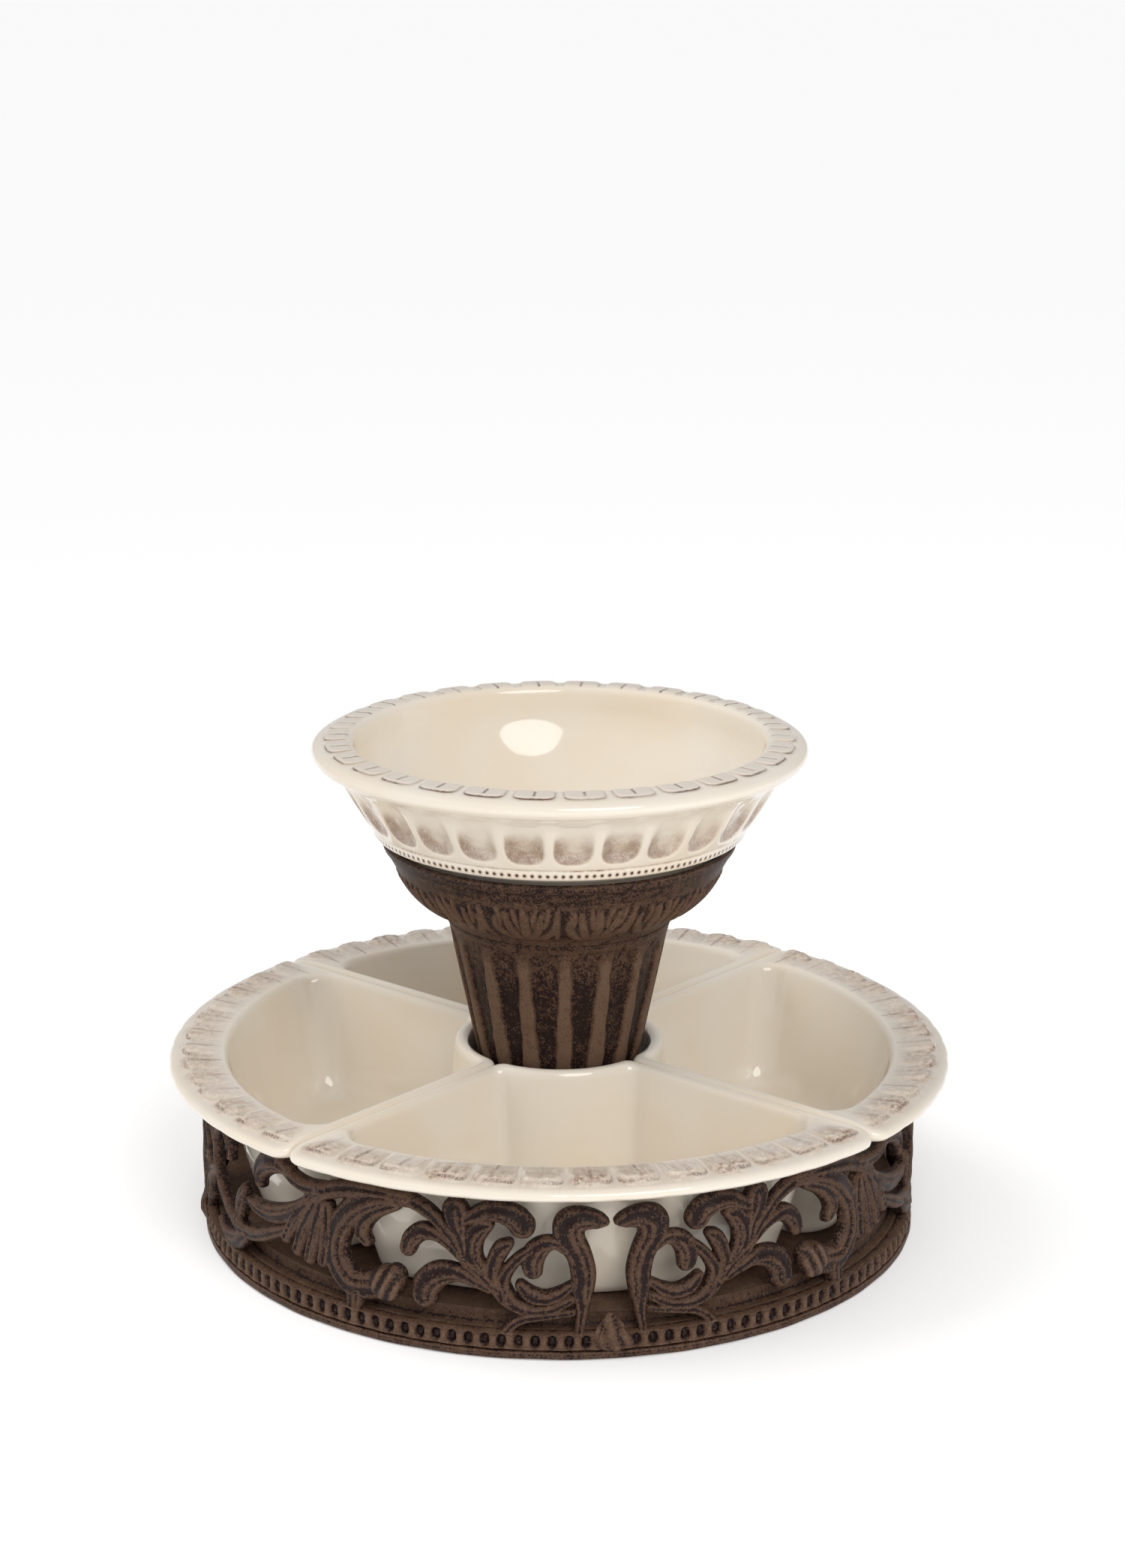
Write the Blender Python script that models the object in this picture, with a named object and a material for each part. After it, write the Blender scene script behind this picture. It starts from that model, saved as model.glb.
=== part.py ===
"""Chip and dip server: a cast openwork stand, four quarter dishes and a dip bowl on an urn pedestal.

Dimensions are in millimetres and become metres as each mesh is made. +Z is up, and the origin is on
the table under the middle of the stand. Azimuth 0 is the front (-Y) and grows towards the right (+X).
"""

import math

import bmesh
import bpy
import numpy as np

MM = 0.001
GAP = 0.3

# Base tray
TRAY_R = 209.6
TRAY_LIFT = 0.8
BAND_TOP = 5.0
LEDGE_R = 202.7
LEDGE_TOP = 15.2
FLOOR_R = 196.9
FLOOR_TOP = 23.5
PLATE = 3.5
FOOT_CIRCLE_R = 181.0
FOOT_R = 9.0
FOOT_HEIGHT = 3.2

# Gallery
GALLERY_IN_R = 203.5
GALLERY_OUT_R = 209.4
PATTERN_R = 209.0
SEAM_AZIMUTH = 7.8
PANEL_LENGTH = PATTERN_R * math.pi / 2
RAIL_TOP = 15.4
GALLERY_TOP = 90.0
GRID_COLUMNS = 162
GRID_ROWS = 44
STRIP_COLUMNS = 9
OUTLINE_ANGLE = 26.0

# Dishes
DISH_AZIMUTH = 4.5
DISH_OUT_R = 228.6

# Pedestal and fasteners
FLUTES = 16
FLUTE_DEPTH = 2.2
SHAFT_TOP = 183.7
CUP_BOTTOM = SHAFT_TOP + GAP
CUP_FLOOR = 189.5
CUP_SHELF = 196.3
ROD_R = 5.0
ROD_HOLE_R = 5.6
ROD_LOW = 5.0
ROD_HIGH = 204.0
NUT_FLATS = 17.0
NUT_HEIGHT = 8.0
WASHER_R = 12.0
WASHER_HEIGHT = 2.0
BUMPER_CIRCLE_R = 65.0
BUMPER_R = 4.0
BUMPER_HEIGHT = 2.7

METAL = (0.095, 0.062, 0.043)
GLAZE = (0.78, 0.68, 0.53)
STEEL = (0.35, 0.35, 0.36)
RUBBER = (0.03, 0.03, 0.03)

# Cast ornament of one gallery panel. Each stroke is a chain of (distance along the panel from its
# front or back seam, height, half width), drawn along a smooth line through those points.
STROKES = {
    "bird_body": [(17.8, 13, 2.4), (15.8, 27, 3.4), (15.4, 40, 6.2), (15.2, 50, 7.0), (17.6, 60, 7.0),
                  (22.3, 69, 8.2), (22.6, 77, 8.8), (16, 80, 6.8), (8, 79.2, 4.8), (3.4, 78.2, 2.4)],
    "bird_wing": [(29, 64, 3.0), (37, 62, 4.6), (42.5, 57.5, 5.4), (45, 52, 4.4), (42, 48.5, 2.6)],
    "wing_edge": [(43, 63, 2.4), (50, 57.5, 3.0), (56, 50, 3.6), (58.5, 43, 4.0), (55, 34, 4.0)],
    "lower_crescent": [(22, 42, 2.4), (28, 37.4, 3.8), (36, 34.8, 4.4), (44, 37, 4.6), (49, 42, 3.0)],
    "belly_stem": [(22, 34, 2.6), (33, 28.5, 3.2), (45, 27.8, 3.8), (55, 32.5, 4.6), (62, 39.5, 4.4),
                   (70, 46.5, 3.6), (79, 53, 3.0)],
    "strut_tongue": [(21, 27, 2.2), (35, 24.8, 2.4), (46, 23, 2.8), (53, 19.5, 3.0), (58, 13, 3.6)],
    "small_leaf": [(55.5, 65.5, 3.0), (59.5, 62, 4.8), (63, 55, 4.6), (64.5, 47, 4.2), (61, 39, 3.6)],
    "tall_leaf": [(66.5, 75.5, 3.4), (71, 73, 5.6), (75, 66, 6.0), (75, 57, 5.6), (70, 48, 4.6),
                  (64, 39.5, 2.8)],
    "top_hook": [(48.2, 76, 7.4), (52, 80.2, 7.2), (60, 83.2, 6.2), (69, 82.6, 5.0), (78, 78, 3.6)],
    "up_palmette": [(79, 55, 2.2), (81, 65, 3.6), (83.5, 74, 5.8), (84.5, 81, 7.6), (84.6, 83, 6.8)],
    "long_stem": [(79, 51.5, 2.2), (84.5, 62, 2.6), (91, 71, 3.4), (100, 79.5, 4.2), (111, 84, 4.4),
                  (123, 83, 5.0)],
    "upper_lobe": [(80, 53.5, 2.0), (87, 60.8, 2.8), (95, 66.5, 3.8), (103, 67.6, 5.2), (109.5, 63, 5.4),
                   (112.5, 56.5, 4.8)],
    "lower_lobe": [(66, 38.5, 2.4), (75, 43, 3.6), (84, 46, 5.2), (94, 44.3, 7.2), (101, 38, 8.2),
                   (102.5, 31.5, 7.8)],
    "great_scroll": [(118, 84.5, 4.6), (131, 81, 6.2), (144, 74, 7.6), (154, 63, 8.0), (159, 50, 8.4),
                     (157, 38, 8.8), (148.5, 29.5, 8.8), (137, 30, 8.2), (127, 34.5, 7.2), (119.8, 39.4, 6.4)],
    "scroll_foot": [(146, 24, 6.0), (147, 13, 5.0)],
    "hanging_hook": [(119, 80, 3.2), (130, 75, 4.2), (138, 68, 4.8), (141, 60.5, 4.8), (137.8, 55.6, 3.6)],
    "top_stem": [(112, 85.6, 3.6), (135, 85.4, 4.2), (152, 82.5, 5.0), (166, 77.5, 5.0), (178, 70, 4.6)],
    "palmette_1": [(164, 70, 3.4), (165, 53, 4.8), (168, 37, 4.4)],
    "palmette_2": [(168, 70, 3.4), (173, 53, 4.8), (178, 36, 4.6)],
    "palmette_3": [(172, 70, 3.4), (181, 54, 4.8), (188, 38, 4.4)],
    "palmette_4": [(174, 72, 3.4), (187, 58, 4.8), (197, 42.5, 4.2)],
    "side_leaf": [(178, 68, 4.4), (193, 58, 5.6), (209, 52, 6.0), (224, 50.5, 4.6), (235, 52, 2.2)],
    "top_leaf": [(166, 79, 4.0), (180, 77, 4.6), (192, 79.4, 4.4), (202, 84.6, 3.8)],
    "far_hook": [(194, 82, 4.0), (206, 83, 6.2), (217, 79, 7.0), (222.5, 72.5, 5.6), (222, 67, 3.8)],
    "low_stem": [(194, 48, 3.0), (208, 41.5, 3.8), (224, 34.5, 4.4), (242, 31, 4.8), (258, 34, 4.6),
                 (271, 41, 4.4), (281, 50, 4.2), (287, 61, 4.2), (287, 72, 4.0), (280, 80, 3.8),
                 (269, 82.5, 3.4), (261, 77, 3.2), (260, 69, 3.0)],
    "low_leaf": [(240, 28, 4.0), (252, 21, 6.0), (266, 19, 5.0), (280, 23.5, 2.4)],
    "bud_leaf": [(250, 35, 3.6), (247, 44, 6.0), (243, 52, 4.8), (240, 58, 2.4)],
    "far_lobe": [(284, 52, 3.2), (296, 47, 4.4), (306, 39, 5.6), (309, 29, 5.4)],
    "far_arch": [(286, 66, 3.2), (296, 76, 4.2), (308, 81.5, 4.6), (320, 80, 4.6), (325, 76, 4.0)],
    "end_leaf": [(323, 13, 5.0), (320.5, 30, 6.4), (320, 46, 6.6), (321.5, 62, 5.6), (323, 78, 4.6)],
    "end_tie": [(299, 46, 3.2), (309, 50, 3.4), (320, 48, 4.0)],
}


def clear_scene():
    for existing in list(bpy.data.objects):
        bpy.data.objects.remove(existing)


def material(name, colour, roughness, metallic):
    made = bpy.data.materials.new(name)
    made.use_nodes = True
    shader = made.node_tree.nodes["Principled BSDF"]
    shader.inputs["Base Color"].default_value = (*colour, 1.0)
    shader.inputs["Roughness"].default_value = roughness
    shader.inputs["Metallic"].default_value = metallic
    return made


def add_object(name, points, faces, surface, smooth_angle=35.0):
    """Make one closed, outward-facing, triangulated mesh object from points in millimetres."""
    work = bmesh.new()
    made = [work.verts.new([c * MM for c in point]) for point in points]
    for face in faces:
        work.faces.new([made[i] for i in face])
    bmesh.ops.triangulate(work, faces=work.faces[:])
    bmesh.ops.recalc_face_normals(work, faces=work.faces[:])
    mesh = bpy.data.meshes.new(name)
    work.to_mesh(mesh)
    work.free()
    mesh.materials.append(surface)
    mesh.shade_smooth()
    mesh.set_sharp_from_angle(angle=math.radians(smooth_angle))
    obj = bpy.data.objects.new(name, mesh)
    bpy.context.collection.objects.link(obj)
    return obj


def polar(radius, azimuth, height):
    """The point at an azimuth in degrees: 0 is the front, 90 the right."""
    angle = math.radians(azimuth)
    return (radius * math.sin(angle), -radius * math.cos(angle), height)


def turned(name, profile, segments, surface, shape=None):
    """Turn a profile of (radius, height) about the Z axis.

    A profile that starts and ends at radius 0 makes a solid; any other is joined end to end into a
    ring. shape(radius, height, azimuth) may vary the radius around the axis.
    """
    points, rings = [], []
    for radius, height in profile:
        ring = []
        for k in range(1 if radius == 0 else segments):
            azimuth = 360.0 * k / segments
            local = shape(radius, height, azimuth) if shape else radius
            ring.append(len(points))
            points.append(polar(local, azimuth, height))
        rings.append(ring)
    pairs = list(zip(rings, rings[1:]))
    if profile[0][0] > 0:
        pairs.append((rings[-1], rings[0]))
    faces = []
    for lower, upper in pairs:
        for k in range(segments):
            corners = [lower[k % len(lower)], lower[(k + 1) % len(lower)],
                       upper[(k + 1) % len(upper)], upper[k % len(upper)]]
            face = list(dict.fromkeys(corners))
            if len(face) > 2:
                faces.append(face)
    return add_object(name, points, faces, surface)


def disc(name, radius, low, high, azimuth, circle_r, surface, segments=12):
    """A short solid cylinder with chamfered ends, off the axis."""
    chamfer = 0.5
    obj = turned(name, [(0, low), (radius - chamfer, low), (radius, low + chamfer), (radius, high - chamfer),
                        (radius - chamfer, high), (0, high)], segments, surface)
    obj.location = [c * MM for c in polar(circle_r, azimuth, 0)]
    return obj


# Base tray


def base_plate(surface):
    plate = turned(
        "base_plate",
        [(TRAY_R, TRAY_LIFT), (TRAY_R, BAND_TOP), (LEDGE_R, BAND_TOP), (LEDGE_R, LEDGE_TOP),
         (FLOOR_R + 0.4, LEDGE_TOP), (FLOOR_R, FLOOR_TOP), (ROD_HOLE_R, FLOOR_TOP),
         (ROD_HOLE_R, FLOOR_TOP - PLATE), (FLOOR_R - PLATE, FLOOR_TOP - PLATE),
         (FLOOR_R - PLATE, LEDGE_TOP - PLATE), (LEDGE_R - PLATE, LEDGE_TOP - PLATE),
         (LEDGE_R - PLATE, PLATE), (LEDGE_R + 2, TRAY_LIFT)], 48, surface)
    for index in range(4):
        boss = disc(f"boss_{index}", FOOT_R + 0.6, FOOT_HEIGHT + GAP, FLOOR_TOP - PLATE / 2,
                    SEAM_AZIMUTH + 45 + 90 * index, FOOT_CIRCLE_R, surface)
        boss.hide_render = True
        boss.display_type = "WIRE"
        union = plate.modifiers.new(f"boss_{index}", "BOOLEAN")
        union.operation = "UNION"
        union.solver = "EXACT"
        union.object = boss


def rubber_feet(surface):
    for index, side in enumerate(("front_right", "back_right", "back_left", "front_left")):
        disc(f"foot_{side}", FOOT_R, 0, FOOT_HEIGHT, SEAM_AZIMUTH + 45 + 90 * index, FOOT_CIRCLE_R, surface)


# Gallery


def smooth_chain(points, steps=6):
    """A Catmull-Rom line through a stroke's points, with the half width carried along."""
    p = np.array(points, float)
    p = np.vstack([2 * p[0] - p[1], p, 2 * p[-1] - p[-2]])
    line = [p[1]]
    for i in range(1, len(p) - 2):
        for k in range(1, steps + 1):
            t = k / steps
            line.append(0.5 * (2 * p[i] + (p[i + 1] - p[i - 1]) * t
                               + (2 * p[i - 1] - 5 * p[i] + 4 * p[i + 1] - p[i + 2]) * t * t
                               + (3 * p[i] - p[i - 1] - 3 * p[i + 1] + p[i + 2]) * t ** 3))
    return np.array(line)


def stroke_distance(s, z, line):
    """Distance from grid points to the edge of a stroke; negative inside it."""
    best = np.full(s.shape, 1e9)
    for (s0, z0, w0), (s1, z1, w1) in zip(line, line[1:]):
        ds, dz = s1 - s0, z1 - z0
        t = np.clip(((s - s0) * ds + (z - z0) * dz) / (ds * ds + dz * dz), 0, 1)
        best = np.minimum(best, np.hypot(s - s0 - t * ds, z - z0 - t * dz) - w0 - t * (w1 - w0))
    return best


def panel_field(s, z):
    """Negative where the panel has metal: the rail and every stroke, inside the panel's edges."""
    field = z - RAIL_TOP
    for points in STROKES.values():
        field = np.minimum(field, stroke_distance(s, z, smooth_chain(points)))
    edge = np.maximum(GAP / 2 - s, s - PANEL_LENGTH + GAP / 2)
    return np.maximum(np.maximum(field, edge), np.maximum(z - GALLERY_TOP, BAND_TOP + GAP - z))


def flat_panel():
    """The panel's outline as a flat mesh in (s, z), cut out of a grid and simplified strip by strip."""
    margin = 2.0
    columns = np.linspace(-0.01, PANEL_LENGTH + 0.01, GRID_COLUMNS + 1)
    rows = np.linspace(BAND_TOP - margin, GALLERY_TOP + margin, GRID_ROWS + 1)
    s, z = np.meshgrid(columns, rows, indexing="ij")
    field = panel_field(s, z)
    work = bmesh.new()
    made = {}

    def corner(i, j):
        if (i, j) not in made:
            made[i, j] = work.verts.new((s[i, j], z[i, j], 0))
        return made[i, j]

    def crossing(a, b):
        key = (min(a, b), max(a, b))
        if key not in made:
            low, high = key
            share = field[low] / (field[low] - field[high])
            share = min(max(share, 0.05), 0.95)
            made[key] = work.verts.new((s[low] + share * (s[high] - s[low]),
                                        z[low] + share * (z[high] - z[low]), 0))
        return made[key]

    for i in range(GRID_COLUMNS):
        for j in range(GRID_ROWS):
            cell = [(i, j), (i + 1, j), (i + 1, j + 1), (i, j + 1)]
            face = []
            for a, b in zip(cell, cell[1:] + cell[:1]):
                if field[a] < 0:
                    face.append(corner(*a))
                if (field[a] < 0) != (field[b] < 0):
                    face.append(crossing(a, b))
            if len(face) > 2:
                work.faces.new(face)
    borders = columns[::STRIP_COLUMNS]
    for edge in work.edges:
        ends = [v.co.x for v in edge.verts]
        edge.seam = abs(ends[0] - ends[1]) < 1e-4 and bool(min(abs(borders - ends[0])) < 1e-3)
    work.normal_update()
    bmesh.ops.dissolve_limit(work, angle_limit=math.radians(OUTLINE_ANGLE), verts=work.verts[:],
                             edges=work.edges[:], delimit={"SEAM"})
    bmesh.ops.triangulate(work, faces=work.faces[:])
    return work


def keep_largest_island(work):
    """Delete every loose island but the largest, so that the panel is one casting."""
    left = set(work.verts)
    islands = []
    while left:
        start = left.pop()
        island, front = {start}, [start]
        while front:
            for edge in front.pop().link_edges:
                for v in edge.verts:
                    if v in left:
                        left.discard(v)
                        island.add(v)
                        front.append(v)
        islands.append(island)
    islands.sort(key=len)
    for island in islands[:-1]:
        bmesh.ops.delete(work, geom=list(island), context="VERTS")


def gallery_panel(name, flat, start_azimuth, direction, surface):
    """Bend the flat panel round the tray and give it its thickness."""
    points, faces = [], []
    for radius in (GALLERY_OUT_R, GALLERY_IN_R):
        for v in flat.verts:
            azimuth = start_azimuth + direction * math.degrees(v.co.x / PATTERN_R)
            points.append(polar(radius, azimuth, v.co.y))
    count = len(flat.verts)
    for face in flat.faces:
        corners = [v.index for v in face.verts]
        faces.append(corners)
        faces.append([count + i for i in reversed(corners)])
    for edge in flat.edges:
        if edge.is_boundary:
            a, b = (v.index for v in edge.verts)
            faces.append([a, b, count + b, count + a])
    return add_object(name, points, faces, surface)


def gallery(surface):
    flat = flat_panel()
    keep_largest_island(flat)
    flat.verts.index_update()
    gallery_panel("gallery_front_right", flat, SEAM_AZIMUTH, 1, surface)
    gallery_panel("gallery_front_left", flat, SEAM_AZIMUTH, -1, surface)
    gallery_panel("gallery_back_left", flat, SEAM_AZIMUTH + 180, 1, surface)
    gallery_panel("gallery_back_right", flat, SEAM_AZIMUTH + 180, -1, surface)
    flat.free()


# Pedestal


def shaft_radius(radius, height, azimuth):
    """Hollow the flutes into the outer surface of the shaft, between its foot and its collar."""
    outer = 26.4 + 0.21 * height
    if not 42 < height < 178 or radius < outer - 1:
        return radius
    wave = 0.5 - 0.5 * math.cos(math.radians(azimuth * FLUTES))
    return radius - FLUTE_DEPTH * wave


def pedestal_shaft(surface):
    def taper(height):
        return 26.6 + 0.21 * height
    outer = [(46, FLOOR_TOP + GAP), (46, 28), (39, 33), (taper(42), 42), (taper(46), 46)]
    outer += [(taper(h), h) for h in (110, 172)] + [(taper(180), 180), (taper(180), SHAFT_TOP)]
    inner = [(ROD_HOLE_R, SHAFT_TOP), (ROD_HOLE_R, SHAFT_TOP - 4), (taper(178) - 7, SHAFT_TOP - 4),
             (taper(46) - 7, 46), (38, FLOOR_TOP + GAP)]
    turned("pedestal_shaft", outer + inner, 4 * FLUTES, surface, shaft_radius)


def pedestal_cup(surface):
    turned(
        "pedestal_cup",
        [(65.5, CUP_BOTTOM), (68.6, 189), (75.4, 193.4), (82, 198), (87, 203), (91.5, 209), (95, 215.5),
         (100.3, 224.9), (102.5, 227), (102.5, 231.2), (98.6, 231.2), (96.2, 224),
         (92.4, 216.5), (87.6, 209.5), (82, 203.5), (71.5, CUP_SHELF), (59, CUP_SHELF),
         (56, CUP_FLOOR), (ROD_HOLE_R, CUP_FLOOR), (ROD_HOLE_R, CUP_BOTTOM)], 40, surface)


def fasteners(surface):
    chamfer = 0.8
    turned("tie_rod", [(0, ROD_LOW), (ROD_R - chamfer, ROD_LOW), (ROD_R, ROD_LOW + chamfer),
                       (ROD_R, ROD_HIGH - chamfer), (ROD_R - chamfer, ROD_HIGH), (0, ROD_HIGH)], 16, surface)

    def hexagon(radius, height, azimuth):
        if radius < NUT_FLATS / 2:
            return radius
        return radius / math.cos(math.radians((azimuth + 30) % 60 - 30))

    hole = ROD_R + GAP + 0.05
    top_washer = CUP_FLOOR + GAP
    top_nut = top_washer + WASHER_HEIGHT + GAP
    low_washer = FLOOR_TOP - PLATE - GAP - WASHER_HEIGHT
    low_nut = low_washer - GAP - NUT_HEIGHT
    for side, washer, nut in (("top", top_washer, top_nut), ("bottom", low_washer, low_nut)):
        turned(f"{side}_washer", [(WASHER_R, washer), (WASHER_R, washer + WASHER_HEIGHT),
                                  (hole, washer + WASHER_HEIGHT), (hole, washer)], 18, surface)
        turned(f"{side}_nut", [(NUT_FLATS / 2, nut), (NUT_FLATS / 2, nut + NUT_HEIGHT),
                               (hole, nut + NUT_HEIGHT), (hole, nut)], 12, surface, hexagon)


def bowl_bumpers(surface):
    low = CUP_SHELF + GAP
    for index, side in enumerate(("front", "right", "back", "left")):
        disc(f"bumper_{side}", BUMPER_R, low, low + BUMPER_HEIGHT, 90 * index + DISH_AZIMUTH,
             BUMPER_CIRCLE_R, surface, 8)


# Ceramics


def dip_bowl(surface):
    foot = CUP_SHELF + 2 * GAP + BUMPER_HEIGHT
    turned(
        "dip_bowl",
        [(0, 213.5), (54, 213.5), (61, foot), (69, foot), (71, 204), (80, 210.8),
         (87.5, 217.5), (92.8, 225), (96, 232.5), (106.5, 236), (109.4, 240), (114.7, 248.8),
         (124.5, 266), (130, 274), (137, 278.4), (141.3, 281), (142.5, 284.5),
         (140.6, 288.2), (133, 290.2), (124, 291.5), (119.8, 290.4), (118.2, 286), (117.2, 272),
         (107.5, 250.5), (101, 241), (92, 232), (79, 225), (60, 221.4), (0, 220)], 44, surface)


def corner_arc(radius_from_axis, offset, corner, inner, steps):
    """Rounded corner between the arc about the axis and the side line, in the half plane of one side.

    Returns points as (along the seam line, away from the seam line). An inner corner runs from the
    arc to the side line, and an outer one from the side line to the arc.
    """
    away = offset + corner
    reach = radius_from_axis + corner if inner else radius_from_axis - corner
    along = math.sqrt(reach * reach - away * away)
    lean = math.atan2(away, along)
    if inner:
        start, stop = lean + math.pi, 1.5 * math.pi
    else:
        start, stop = -0.5 * math.pi, lean
    angles = [start + (stop - start) * k / steps for k in range(steps + 1)]
    return [(along + corner * math.cos(a), away + corner * math.sin(a)) for a in angles]


def sector_ring(level, azimuth):
    """One closed ring of a dish: a quarter sector with rounded corners.

    level is (z at the outer arc, z at the sides, z at the inner arc, inner radius, outer radius,
    side gap, inner corner, outer corner).
    """
    z_out, z_side, z_in, r_in, r_out, side, c_in, c_out = level
    inner = corner_arc(r_in, side, c_in, True, 3)
    outer = corner_arc(r_out, side, c_out, False, 4)
    heights = [z_in + (z_side - z_in) * k / 3 for k in range(4)]
    heights += [z_side + (z_out - z_side) * k / 4 for k in range(5)]
    right = []
    for (along, away), height in zip(inner + outer, heights):
        angle = math.pi / 4 - math.atan2(away, along)
        right.append((math.hypot(along, away), angle, height))
    last = right[-1][1]
    middle = [(r_out, last * (1 - k / 5), z_out) for k in range(1, 10)]
    first = right[0][1]
    hole = [(r_in, -first * (1 - k / 3), z_in) for k in range(1, 6)]
    left = [(r, -angle, height) for r, angle, height in reversed(right)]
    ring = right + middle + left + hole
    return [polar(r, azimuth + math.degrees(angle), height) for r, angle, height in ring]


DISH_LEVELS = [
    (23.8, 23.8, 23.8, 62.0, 176.0, 13.0, 6.0, 18.0),
    (27.0, 27.0, 27.0, 59.5, 180.0, 9.5, 7.0, 22.0),
    (94.0, 94.0, 94.0, 53.6, 199.3, 1.3, 7.0, 24.0),
    (96.2, 97.0, 97.0, 53.2, 221.0, 0.7, 6.0, 10.0),
    (98.6, 100.0, 100.0, 53.0, 227.0, 0.5, 6.0, 9.0),
    (101.5, 103.5, 103.5, 53.0, DISH_OUT_R, 0.5, 6.0, 9.0),
    (104.4, 106.0, 106.4, 54.2, 225.8, 1.4, 6.0, 9.0),
    (105.4, 107.2, 107.8, 57.0, 217.0, 3.8, 6.5, 10.0),
    (107.0, 106.4, 107.2, 60.2, 199.0, 6.6, 7.0, 17.0),
    (104.8, 104.4, 105.0, 61.8, 195.2, 7.6, 8.0, 17.0),
    (38.0, 38.0, 38.0, 67.0, 178.5, 14.0, 8.0, 15.0),
    (33.0, 33.0, 33.0, 70.0, 174.5, 18.0, 8.0, 13.0),
    (31.2, 31.2, 31.2, 76.0, 168.0, 24.0, 8.0, 11.0),
]


def dish(name, azimuth, surface):
    points, faces = [], []
    for level in DISH_LEVELS:
        points += sector_ring(level, azimuth)
    count = len(points) // len(DISH_LEVELS)
    for row in range(len(DISH_LEVELS) - 1):
        for k in range(count):
            a, b = row * count + k, row * count + (k + 1) % count
            faces.append([a, b, b + count, a + count])
    faces.append(list(range(count)))
    top = (len(DISH_LEVELS) - 1) * count
    faces.append(list(range(top, top + count)))
    return add_object(name, points, faces, surface)


def main():
    clear_scene()
    metal = material("cast_metal", METAL, 0.55, 0.6)
    glaze = material("cream_glaze", GLAZE, 0.12, 0.0)
    steel = material("plated_steel", STEEL, 0.35, 1.0)
    rubber = material("black_rubber", RUBBER, 0.8, 0.0)
    base_plate(metal)
    rubber_feet(rubber)
    gallery(metal)
    pedestal_shaft(metal)
    pedestal_cup(metal)
    fasteners(steel)
    bowl_bumpers(rubber)
    dip_bowl(glaze)
    for index, side in enumerate(("front", "right", "back", "left")):
        dish(f"dish_{side}", DISH_AZIMUTH + 90 * index, glaze)


main()
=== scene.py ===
import math

import bpy
import numpy as np
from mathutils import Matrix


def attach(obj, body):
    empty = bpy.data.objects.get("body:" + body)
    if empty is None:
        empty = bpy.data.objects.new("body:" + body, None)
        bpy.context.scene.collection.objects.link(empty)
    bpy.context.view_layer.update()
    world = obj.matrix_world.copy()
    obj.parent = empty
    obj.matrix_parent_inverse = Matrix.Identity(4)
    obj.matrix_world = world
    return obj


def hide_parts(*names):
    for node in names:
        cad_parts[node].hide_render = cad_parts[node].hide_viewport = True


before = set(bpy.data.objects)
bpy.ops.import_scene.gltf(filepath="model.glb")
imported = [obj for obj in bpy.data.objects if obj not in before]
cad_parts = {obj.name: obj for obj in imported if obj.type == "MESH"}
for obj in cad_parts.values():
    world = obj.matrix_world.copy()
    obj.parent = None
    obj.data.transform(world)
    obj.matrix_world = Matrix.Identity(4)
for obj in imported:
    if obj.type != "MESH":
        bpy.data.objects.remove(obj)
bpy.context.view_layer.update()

# Sizes are in millimetres, as in the CAD, and become metres as each mesh is made. Azimuth 0 is the
# front (-Y) and grows towards the right (+X).
MM = 0.001
SEAM_AZIMUTH = 7.8
DISH_AZIMUTH = 4.5
SIDES = ("front", "right", "back", "left")

# Sizes that the shapes and the materials of the glazed pieces share.
BOWL_TILES = 30
TILE_START, TILE_END = 120.4, 136.0
TIP_FROM, TIP_LENGTH, SIDE_WIDTH = 0.42, 0.55, 0.86
BOWL_DOTS = 160
DOT_R, DOT_Z = 108.6, 238.6
DISH_TILES = 13
DISH_HALF = 44.3
DISH_TILE_START, DISH_TILE_END = 198.0, 221.5


# Small maths


def smooth_step(low, high, value):
    t = np.clip((value - low) / (high - low), 0, 1)
    return t * t * (3 - 2 * t)


def bump(value, width):
    return np.exp(-((value / width) ** 2))


def smooth_line(points, steps=12):
    """A Catmull-Rom line through points of any number of values."""
    p = np.array(points, float)
    p = np.vstack([2 * p[0] - p[1], p, 2 * p[-1] - p[-2]])
    line = [p[1]]
    for i in range(1, len(p) - 2):
        for k in range(1, steps + 1):
            t = k / steps
            line.append(0.5 * (2 * p[i] + (p[i + 1] - p[i - 1]) * t
                               + (2 * p[i - 1] - 5 * p[i] + 4 * p[i + 1] - p[i + 2]) * t * t
                               + (3 * p[i] - p[i - 1] - 3 * p[i + 1] + p[i + 2]) * t ** 3))
    return np.array(line)


def resample(line, spacing, length_of=slice(0, 2)):
    """Points along a line, spaced by spacing(line). length_of picks the values that measure length."""
    steps = np.linalg.norm(np.diff(line[:, length_of], axis=0), axis=1)
    wanted = spacing(line)
    middle = (wanted[1:] + wanted[:-1]) / 2
    travel = np.concatenate([[0], np.cumsum(steps / middle + 1e-6)])
    places = np.linspace(0, travel[-1], int(travel[-1]) + 2)
    return np.stack([np.interp(places, travel, line[:, k]) for k in range(line.shape[1])], axis=1)


def line_normals(r, z):
    """Unit normals of an outline that runs up its outer side and down its inner side."""
    dr, dz = np.gradient(r), np.gradient(z)
    size = np.hypot(dr, dz) + 1e-9
    return dz / size, -dr / size


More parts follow.
